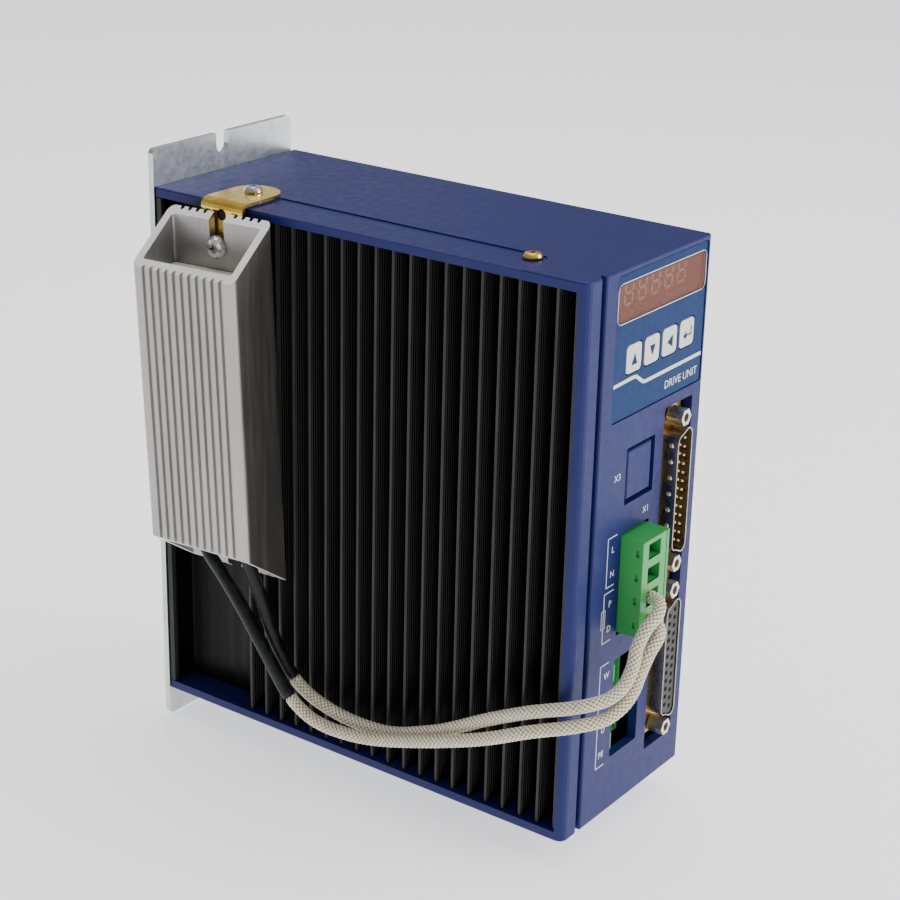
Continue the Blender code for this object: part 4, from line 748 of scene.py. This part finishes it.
# ---------------------------------------------------------------- prints
PRINT_THICK = 0.00003
PRINT_CLEAR = 0.000004  # between a print and the face under it


def printed(name, finish, outline, face, body="drive"):
    """A thin print of an (x, z) outline on a face that looks towards -Y."""
    return add(name, finish, prism(outline, "y", face - PRINT_THICK, face - PRINT_CLEAR), body, smooth=None)


def stroke(points, width):
    """The outline of a line of that width through the points."""
    sides = ([], [])
    for i, (x, z) in enumerate(points):
        before = points[max(0, i - 1)]
        after = points[min(len(points) - 1, i + 1)]
        ahead = Vector((after[0] - before[0], after[1] - before[1])).normalized()
        for side, sign in zip(sides, (1, -1)):
            side.append((x - ahead.y * sign * width / 2, z + ahead.x * sign * width / 2))
    return sides[0] + sides[1][::-1]


def lettered(name, words, x, z, size, face, finish="white_print"):
    """Printed letters, centred on a point of a face that looks towards -Y."""
    curve = bpy.data.curves.new(name, "FONT")
    curve.body = words
    curve.size = size
    curve.align_x = "CENTER"
    curve.align_y = "CENTER"
    curve.extrude = PRINT_THICK / 2
    curve.resolution_u = 3
    text = bpy.data.objects.new(f"{name}_curve", curve)
    bpy.context.scene.collection.objects.link(text)
    bpy.context.view_layer.update()
    shown = text.evaluated_get(bpy.context.evaluated_depsgraph_get())
    mesh = bpy.data.meshes.new_from_object(shown)
    bpy.data.objects.remove(text, do_unlink=True)
    shape = bmesh.new()
    shape.from_mesh(mesh)
    bpy.data.meshes.remove(mesh)
    spot = Matrix.Translation((x, face - PRINT_THICK / 2 - PRINT_CLEAR, z))
    return add(name, finish, moved(shape, spot @ Matrix.Rotation(math.radians(90), 4, "X")), smooth=None)


BRACKETS = {
    "supply": ((-11.0, 6.2), (-15.8, 6.2), (-15.8, -9.3), (-11.6, -9.3)),
    "resistor": ((-11.4, -11.1), (-16.4, -11.1), (-16.4, -27.1), (-11.9, -27.1)),
    "motor": ((-11.9, -34.6), (-16.4, -34.6), (-16.4, -68.9), (-11.7, -68.9)),
}
LETTERS = {
    "L": (-13.0, 2.0),
    "N": (-12.9, -5.7),
    "P": (-13.1, -15.2),
    "D": (-13.1, -23.2),
    "W": (-12.8, -38.8),
    "V": (-13.0, -47.7),
    "U": (-13.2, -56.8),
    "PE": (-13.7, -65.0),
}
LETTER_SIZE = 0.0029


def case_prints():
    """White terminal marks on the front, one letter to a terminal, and the brackets that group them."""
    for name, corners in BRACKETS.items():
        for i, ((x0, z0), (x1, z1)) in enumerate(zip(corners, corners[1:])):
            pad = 0.12 if i == 1 else 0.0
            line = [(x0 * MM, (z0 + pad) * MM), (x1 * MM, (z1 - pad) * MM)]
            printed(f"{name}_bracket_{i + 1}", "white_print", stroke(line, 0.00030), CASE_FRONT)
    for word, (x, z) in LETTERS.items():
        lettered(f"mark_{word}", word, x * MM, z * MM, LETTER_SIZE, CASE_FRONT)
    (x0, z0), (x1, z1) = (-0.01745, -0.0222), (-0.0155, -0.0164)
    corners = [(x0, z0), (x1, z0), (x1, z1), (x0, z1)]
    for i in range(4):
        side = stroke([corners[i], corners[(i + 1) % 4]], 0.00022)
        printed(f"resistor_sign_{i + 1}", "white_print", side, CASE_FRONT)
    lettered("mark_X3", "X3", -0.0126, 0.0241, LETTER_SIZE, CASE_FRONT)
    lettered("mark_X1", "X1", 0.0043, 0.0092, LETTER_SIZE, CASE_FRONT)


# ---------------------------------------------------------------- display and keys
DIGIT_COUNT = 6
OVERLAY_LINE = (
    (-0.0171, 0.0526),
    (-0.0066, 0.0529),
    (-0.0049, 0.0527),
    (-0.0012, 0.0502),
    (0.0003, 0.0499),
    (0.0315, 0.0502),
)


def display():
    """Overlay, window with its white border, six unlit digits and the printed keys."""
    finish_node("display_overlay", "overlay_blue")
    finish_node("display_window", "window_tint", 0.00012)
    finish_node("digit_module", "digit_face")
    finish_node("display_board", "circuit_board")
    x0, x1, z0, z1 = WINDOW
    rim, reach, margin = 0.0018, 0.00055, 0.0018
    outer = rounded((x0 - reach, z0 - reach), (x1 + reach, z1 + reach), rim + reach, 6)
    inner = rounded((x0 - GAP, z0 - GAP), (x1 + GAP, z1 + GAP), rim, 6)
    border = bmesh.new()
    loops = []
    for points in (outer, inner):
        for lift in (PRINT_CLEAR, PRINT_THICK):
            loops.append([border.verts.new((x, OVERLAY_FACE - lift, z)) for x, z in points])
    for a, b in ((0, 1), (1, 3), (3, 2), (2, 0)):
        for i in range(len(outer)):
            j = (i + 1) % len(outer)
            border.faces.new((loops[a][i], loops[a][j], loops[b][j], loops[b][i]))
    bmesh.ops.recalc_face_normals(border, faces=border.faces)
    add("window_border", "white_print", border, smooth=None)
    pitch = (x1 - x0 - 2 * margin) / DIGIT_COUNT
    for i in range(DIGIT_COUNT):
        seven_segments(f"digit_{i + 1}", x0 + margin + pitch * (i + 0.5), (z0 + z1) / 2)
    printed("overlay_line", "white_print", stroke(OVERLAY_LINE, 0.0011), OVERLAY_FACE)
    lettered("overlay_word", "DRIVE UNIT", 0.0205, 0.0454, 0.0035, OVERLAY_FACE)
    keys()


def seven_segments(name, x, z):
    """One digit of seven slim bars, on the display module's face."""
    half, tall, thick, gap, lean = 0.0020, 0.0034, 0.00042, 0.00025, 0.09
    bars = []
    for level in (-1, 0, 1):
        bars.append(((-half + gap, level * tall), (half - gap, level * tall)))
    for side in (-1, 1):
        for level in (-1, 0):
            bars.append(((side * half, level * tall + gap), (side * half, (level + 1) * tall - gap)))
    shapes = []
    for (ax, az), (bx, bz) in bars:
        ahead = Vector((bx - ax, bz - az)).normalized() * thick
        side = Vector((-ahead.y, ahead.x))
        corners = [(ax, az), (ax + ahead.x + side.x, az + ahead.y + side.y)]
        corners += [(bx - ahead.x + side.x, bz - ahead.y + side.y), (bx, bz)]
        corners += [(bx - ahead.x - side.x, bz - ahead.y - side.y)]
        corners += [(ax + ahead.x - side.x, az + ahead.y - side.y)]
        leaning = [(x + px + pz * lean, z + pz) for px, pz in corners]
        shapes.append(prism(leaning, "y", DIGITS_FACE - 0.00008, DIGITS_FACE - 0.00001))
    add(name, "digit_tint", gathered(shapes), smooth=None)


KEY_SIGNS = {
    "up": [[(-1.6, -1.7), (1.6, -1.7), (0.2, 1.6)]],
    "down": [[(-1.6, 1.6), (1.6, 1.6), (0.0, -1.7)]],
    "left": [[(1.5, 1.9), (1.5, -1.9), (-1.6, 0.0)]],
    "enter": [
        [(1.9, 1.9), (2.45, 1.9), (2.45, -0.75), (-0.6, -0.75), (-0.6, -0.25), (1.9, -0.25)],
        [(-0.4, 0.75), (-0.4, -1.75), (-2.3, -0.5)],
    ],
}


def keys():
    """The four keys with their printed signs, and the switches behind them."""
    for (word, signs), left in zip(KEY_SIGNS.items(), KEY_LEFTS):
        finish_node(f"key_{word}", "key_white", 0.00022)
        finish_node(f"switch_{word}", "black_plastic")
        x, z = left + KEY_SIDE / 2 + GAP, KEY_TOP - KEY_TALL / 2 - GAP
        for i, sign in enumerate(signs):
            outline = [(x + px * MM, z + pz * MM) for px, pz in sign]
            printed(f"key_sign_{word}_{i + 1}", "blue_print", outline, OVERLAY_FACE, f"key_{word}")


# ---------------------------------------------------------------- terminals
def terminals():
    """The green plug with its grooved edge and lips, the clamps in it, and the two headers."""
    plug = finish_node("terminal_plug", "green_plastic")
    low = PLUG_HIGH - 4 * POLE_PITCH
    edge, past = PLUG_RIGHT - 0.0016, 0.001
    line_end = (edge + 0.00035, PLUG_FRONT + 0.0005, PLUG_HIGH + past)
    hollow(plug, box((edge, PLUG_FRONT - past, low - past), line_end))
    soften(plug, 0.00022)
    for i in range(4):
        z = PLUG_HIGH - POLE_PITCH * (i + 0.5)
        front, back, upper, lower = PLUG_FRONT, PLUG_FRONT + 0.0006, z - 0.0024, z - 0.0031
        section = [(front - 0.0002, upper), (back, upper), (back, lower), (front, lower)]
        lip = prism(section, "x", -0.0049, 0.0013)
        add(f"entry_lip_{i + 1}", "green_plastic", lip, "plug", smooth=None, bevel=0.00008)
        finish_node(f"clamp_screw_{i + 1}", "bright_steel", 0.0001, 1)
        finish_node(f"clamp_cage_{i + 1}", "bright_steel", 0.00008, 1)
    finish_node("input_header", "green_plastic", 0.00012)
    finish_node("motor_header", "green_plastic", 0.00012)


# ---------------------------------------------------------------- signal ports
CONTACT_PITCH, CONTACT_ROWS = 0.00277, ((0.00142, 13), (-0.00142, 12))
PINS_SUNK, SOCKETS_SUNK = 0.0046, 0.0004  # the insulators' faces, behind their shells' rims
DIMPLE_PITCH, DIMPLE_COUNT = 0.0051, 7


def contacts(middle_z):
    """The places of a 25-way connector's contacts, as (x, z)."""
    for side, count in CONTACT_ROWS:
        for i in range(count):
            yield PORT_X + side, middle_z + CONTACT_PITCH * (i - (count - 1) / 2)


def signal_ports():
    """Shells, insulators, jackscrews, the upper port's gilt pins and the lower port's tapered sockets."""
    finish_node("upper_port_shell", "nickel_shell", 0.00018)
    finish_node("lower_port_shell", "nickel_shell", 0.00018)
    finish_node("upper_port_insulator", "black_plastic", 0.00015)
    face = SHELL_RIM + PINS_SUNK
    pins = []
    for x, z in contacts(UPPER_PORT_Z):
        profile = [(0.0005, -0.0006), (0.0005, 0.0031), (0.00042, 0.0036), (0.00026, 0.0039), (0.0, 0.0040)]
        pins.append(moved(turned(profile, 12), facing((x, face, z), (0, -1, 0))))
    add("upper_port_pins", "gold_plate", gathered(pins), smooth=50)
    sockets = finish_node("lower_port_insulator", "black_plastic")
    holes = []
    for x, z in contacts(LOWER_PORT_Z):
        profile = [(0.00062, -0.0030), (0.00062, -0.0006), (0.00092, 0.0001), (0.00092, 0.0005)]
        holes.append(moved(turned(profile, 10), facing((x, SHELL_RIM + SOCKETS_SUNK, z), (0, -1, 0))))
    hollow(sockets, gathered(holes))
    soften(sockets, 0.00008, 1)
    dimples = []
    for side in (1, -1):
        for i in range(DIMPLE_COUNT):
            z = UPPER_PORT_Z + DIMPLE_PITCH * (i - (DIMPLE_COUNT - 1) / 2)
            dome = turned([(0.00075, -0.0001), (0.00070, 0.00008), (0.00045, 0.00026), (0.0, 0.00034)], 14)
            dimples.append(moved(dome, facing((PORT_X + side * 0.0041, SHELL_RIM + 0.0022, z), (side, 0, 0))))
    add("upper_port_dimples", "nickel", gathered(dimples), smooth=60)
    for port in ("upper", "lower"):
        for end in ("top", "bottom"):
            finish_node(f"{port}_port_jackscrew_{end}", "nickel", 0.00025)


def insides():
    """Boards and power parts, which show only through the openings."""
    for name in ("control_board", "power_board"):
        finish_node(name, "circuit_board")
    for name in ("power_module", "rectifier_bridge", "inrush_relay"):
        finish_node(name, "black_plastic", 0.0004)
    for name in ("bulk_capacitor_1", "bulk_capacitor_2"):
        finish_node(name, "capacitor_sleeve")
    finish_node("transformer", "transformer_tape", 0.0005)


# ---------------------------------------------------------------- the resistor's leads
def smooth_route(points, spacing):
    """Evenly spaced points on a smooth curve through the route's own points."""
    knots = np.array(points)
    padded = np.vstack([2 * knots[0] - knots[1], knots, 2 * knots[-1] - knots[-2]])
    fine = [knots[0]]
    for before, start, end, after in zip(padded, padded[1:], padded[2:], padded[3:]):
        for step in range(1, 13):
            t = step / 12
            bend = (2 * before - 5 * start + 4 * end - after) * t**2
            bend += (3 * start - before - 3 * end + after) * t**3
            fine.append(0.5 * (2 * start + (end - before) * t + bend))
    fine = np.array(fine)
    reach = np.concatenate([[0], np.cumsum(np.linalg.norm(np.diff(fine, axis=0), axis=1))])
    want = np.linspace(0, reach[-1], max(2, round(reach[-1] / spacing)) + 1)
    return np.stack([np.interp(want, reach, fine[:, k]) for k in range(3)], 1)


def tube_rings(path, sides):
    """Centres, side directions and distances for a tube that doesn't twist along a path."""
    ahead = np.gradient(path, axis=0)
    ahead /= np.linalg.norm(ahead, axis=1)[:, None]
    side = np.cross(ahead[0], (0.0, 0.0, 1.0))
    side /= np.linalg.norm(side)
    sides_at = []
    for direction in ahead:
        side = side - direction * np.dot(side, direction)
        side /= np.linalg.norm(side)
        sides_at.append(side)
    sides_at = np.array(sides_at)
    reach = np.concatenate([[0], np.cumsum(np.linalg.norm(np.diff(path, axis=0), axis=1))])
    turn = np.linspace(0, 2 * math.pi, sides, endpoint=False)
    return sides_at, np.cross(ahead, sides_at), reach, turn


def tube_mesh(name, finish, path, radius, sides, relief, ends=0.0):
    """A closed tube along a path. relief gives the extra radius and a stored number at (distance, turn)."""
    u, v, reach, turn = tube_rings(path, sides)
    distance, angle = np.meshgrid(reach, turn, indexing="ij")
    lift, raised = relief(distance, angle)
    r = radius + lift
    if ends:
        close = np.minimum(distance, reach[-1] - distance) / ends
        r = r * np.sqrt(np.clip(1 - (1 - np.clip(close, 0, 1)) ** 2 * 0.35, 0, 1))
    outward = np.cos(angle)[..., None] * u[:, None, :] + np.sin(angle)[..., None] * v[:, None, :]
    points = path[:, None, :] + r[..., None] * outward
    rings = len(path)
    index = np.arange(rings * sides).reshape(rings, sides)
    after = np.roll(index, -1, axis=1)
    quads = np.stack([index[:-1], index[1:], after[1:], after[:-1]], -1).reshape(-1, 4)
    mesh = bpy.data.meshes.new(name)
    faces = [tuple(q) for q in quads.tolist()] + [tuple(index[0].tolist()), tuple(index[-1][::-1].tolist())]
    mesh.from_pydata(points.reshape(-1, 3).tolist(), [], faces)
    stored = mesh.attributes.new("raised", "FLOAT", "POINT")
    stored.data.foreach_set("value", raised.reshape(-1).astype(np.float32))
    mesh.materials.append(FINISHES[finish].material)
    mesh.shade_smooth()
    mesh.validate()
    made = bpy.data.objects.new(name, mesh)
    bpy.context.scene.collection.objects.link(made)
    return made


def woven(distance, angle):
    """The braid's relief: yarns that wind both ways round the lead and cross over and under in turn."""
    lay = 2 * math.pi * LEAD_RADIUS
    one = BRAID_YARNS * (distance / lay + angle / (2 * math.pi))
    other = BRAID_YARNS * (distance / lay - angle / (2 * math.pi))
    on_top = (np.floor(one) + np.floor(other)) % 2
    round_one = np.abs(np.sin(math.pi * one))
    round_other = np.abs(np.sin(math.pi * other))
    one_over, other_over = round_one * (0.35 + 0.65 * round_other), round_other * (0.35 + 0.65 * round_one)
    raised = np.where(on_top > 0.5, one_over, other_over)
    loose = 0.4 * np.sin(distance * 310 + 2 * np.sin(distance * 97)) * np.sin(angle + distance * 60)
    return BRAID_LIFT * (raised - 0.75) + 0.00004 * loose, raised


def creased(distance, angle):
    """Soft lengthwise creases and a slight unevenness in the sleeving."""
    crease = np.sin(2 * angle + distance * 55) * np.sin(distance * 190 + 1.3 * np.sin(distance * 70))
    fold = np.sin(distance * 820 + 2 * np.sin(angle)) * 0.35
    return 0.00007 * crease + 0.00003 * fold - 0.00006, 0.5 + 0.5 * crease


def leads():
    """Each lead: a braided tube that follows the plug, and the sleeving over its first stretch."""
    for number, (sleeved, route) in LEAD_ROUTES.items():
        whole = smooth_route(route, LEAD_SPACING)
        last = round(sleeved / LEAD_SPACING)
        middle = (whole[last] + whole[last + 1]) / 2
        ahead = whole[last + 1] - whole[last]
        ahead /= np.linalg.norm(ahead)
        covered = smooth_route([*whole[: last + 1], middle - ahead * GAP / 2], 0.0008)
        open_path = smooth_route([middle + ahead * GAP / 2, *whole[last + 1 :]], 0.00028)
        sleeve = tube_mesh(f"lead_sleeving_{number}", "black_sleeving", covered, SLEEVE_RADIUS, 28, creased)
        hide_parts(f"lead_sleeve_{number}")
        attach(sleeve, "drive")
        name = f"lead_braid_{number}"
        braid = tube_mesh(name, "glass_braid", open_path, LEAD_RADIUS, 48, woven, ends=0.0012)
        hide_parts(f"lead_{number}")
        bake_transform(braid)


# ---------------------------------------------------------------- studio
FLOOR_HEIGHT, FLOOR_REACH = -0.0968, 6.0


def studio():
    """White paper under the object, and soft light from the front right, the top and the rear right."""
    ground = bmesh.new()
    corners = ((-1, -1), (1, -1), (1, 1), (-1, 1))
    ground.faces.new([ground.verts.new((x * FLOOR_REACH, y * FLOOR_REACH, FLOOR_HEIGHT)) for x, y in corners])
    mesh = bpy.data.meshes.new("studio_floor")
    ground.to_mesh(mesh)
    ground.free()
    mesh.materials.append(floor_paper().material)
    floor = bpy.data.objects.new("studio_floor", mesh)
    bpy.context.scene.collection.objects.link(floor)
    world = bpy.data.worlds.new("studio")
    bpy.context.scene.world = world
    world.use_nodes = True
    background = world.node_tree.nodes["Background"]
    background.inputs["Color"].default_value = (1.0, 1.0, 1.0, 1)
    background.inputs["Strength"].default_value = 0.32
    lamps = {
        "top": ((0.15, -0.05, 1.1), (0.0, -0.08, 0.0), 1.3, 11.0),
        "front_right": ((0.55, -1.2, 0.55), (0.0, -0.1, 0.0), 0.8, 12.0),
        "rear_card": ((0.75, 0.75, 0.42), (0.0, -0.05, 0.08), 0.5, 0.25),
    }
    for name, (place, target, size, power) in lamps.items():
        data = bpy.data.lights.new(f"light_{name}", "AREA")
        data.shape = "SQUARE"
        data.size = size
        data.energy = power
        lamp = bpy.data.objects.new(f"light_{name}", data)
        bpy.context.scene.collection.objects.link(lamp)
        lamp.matrix_world = facing(place, Vector(place) - Vector(target))


leads()
case_and_plate()
heat_sink()
resistor()
case_prints()
display()
terminals()
signal_ports()
insides()
studio()
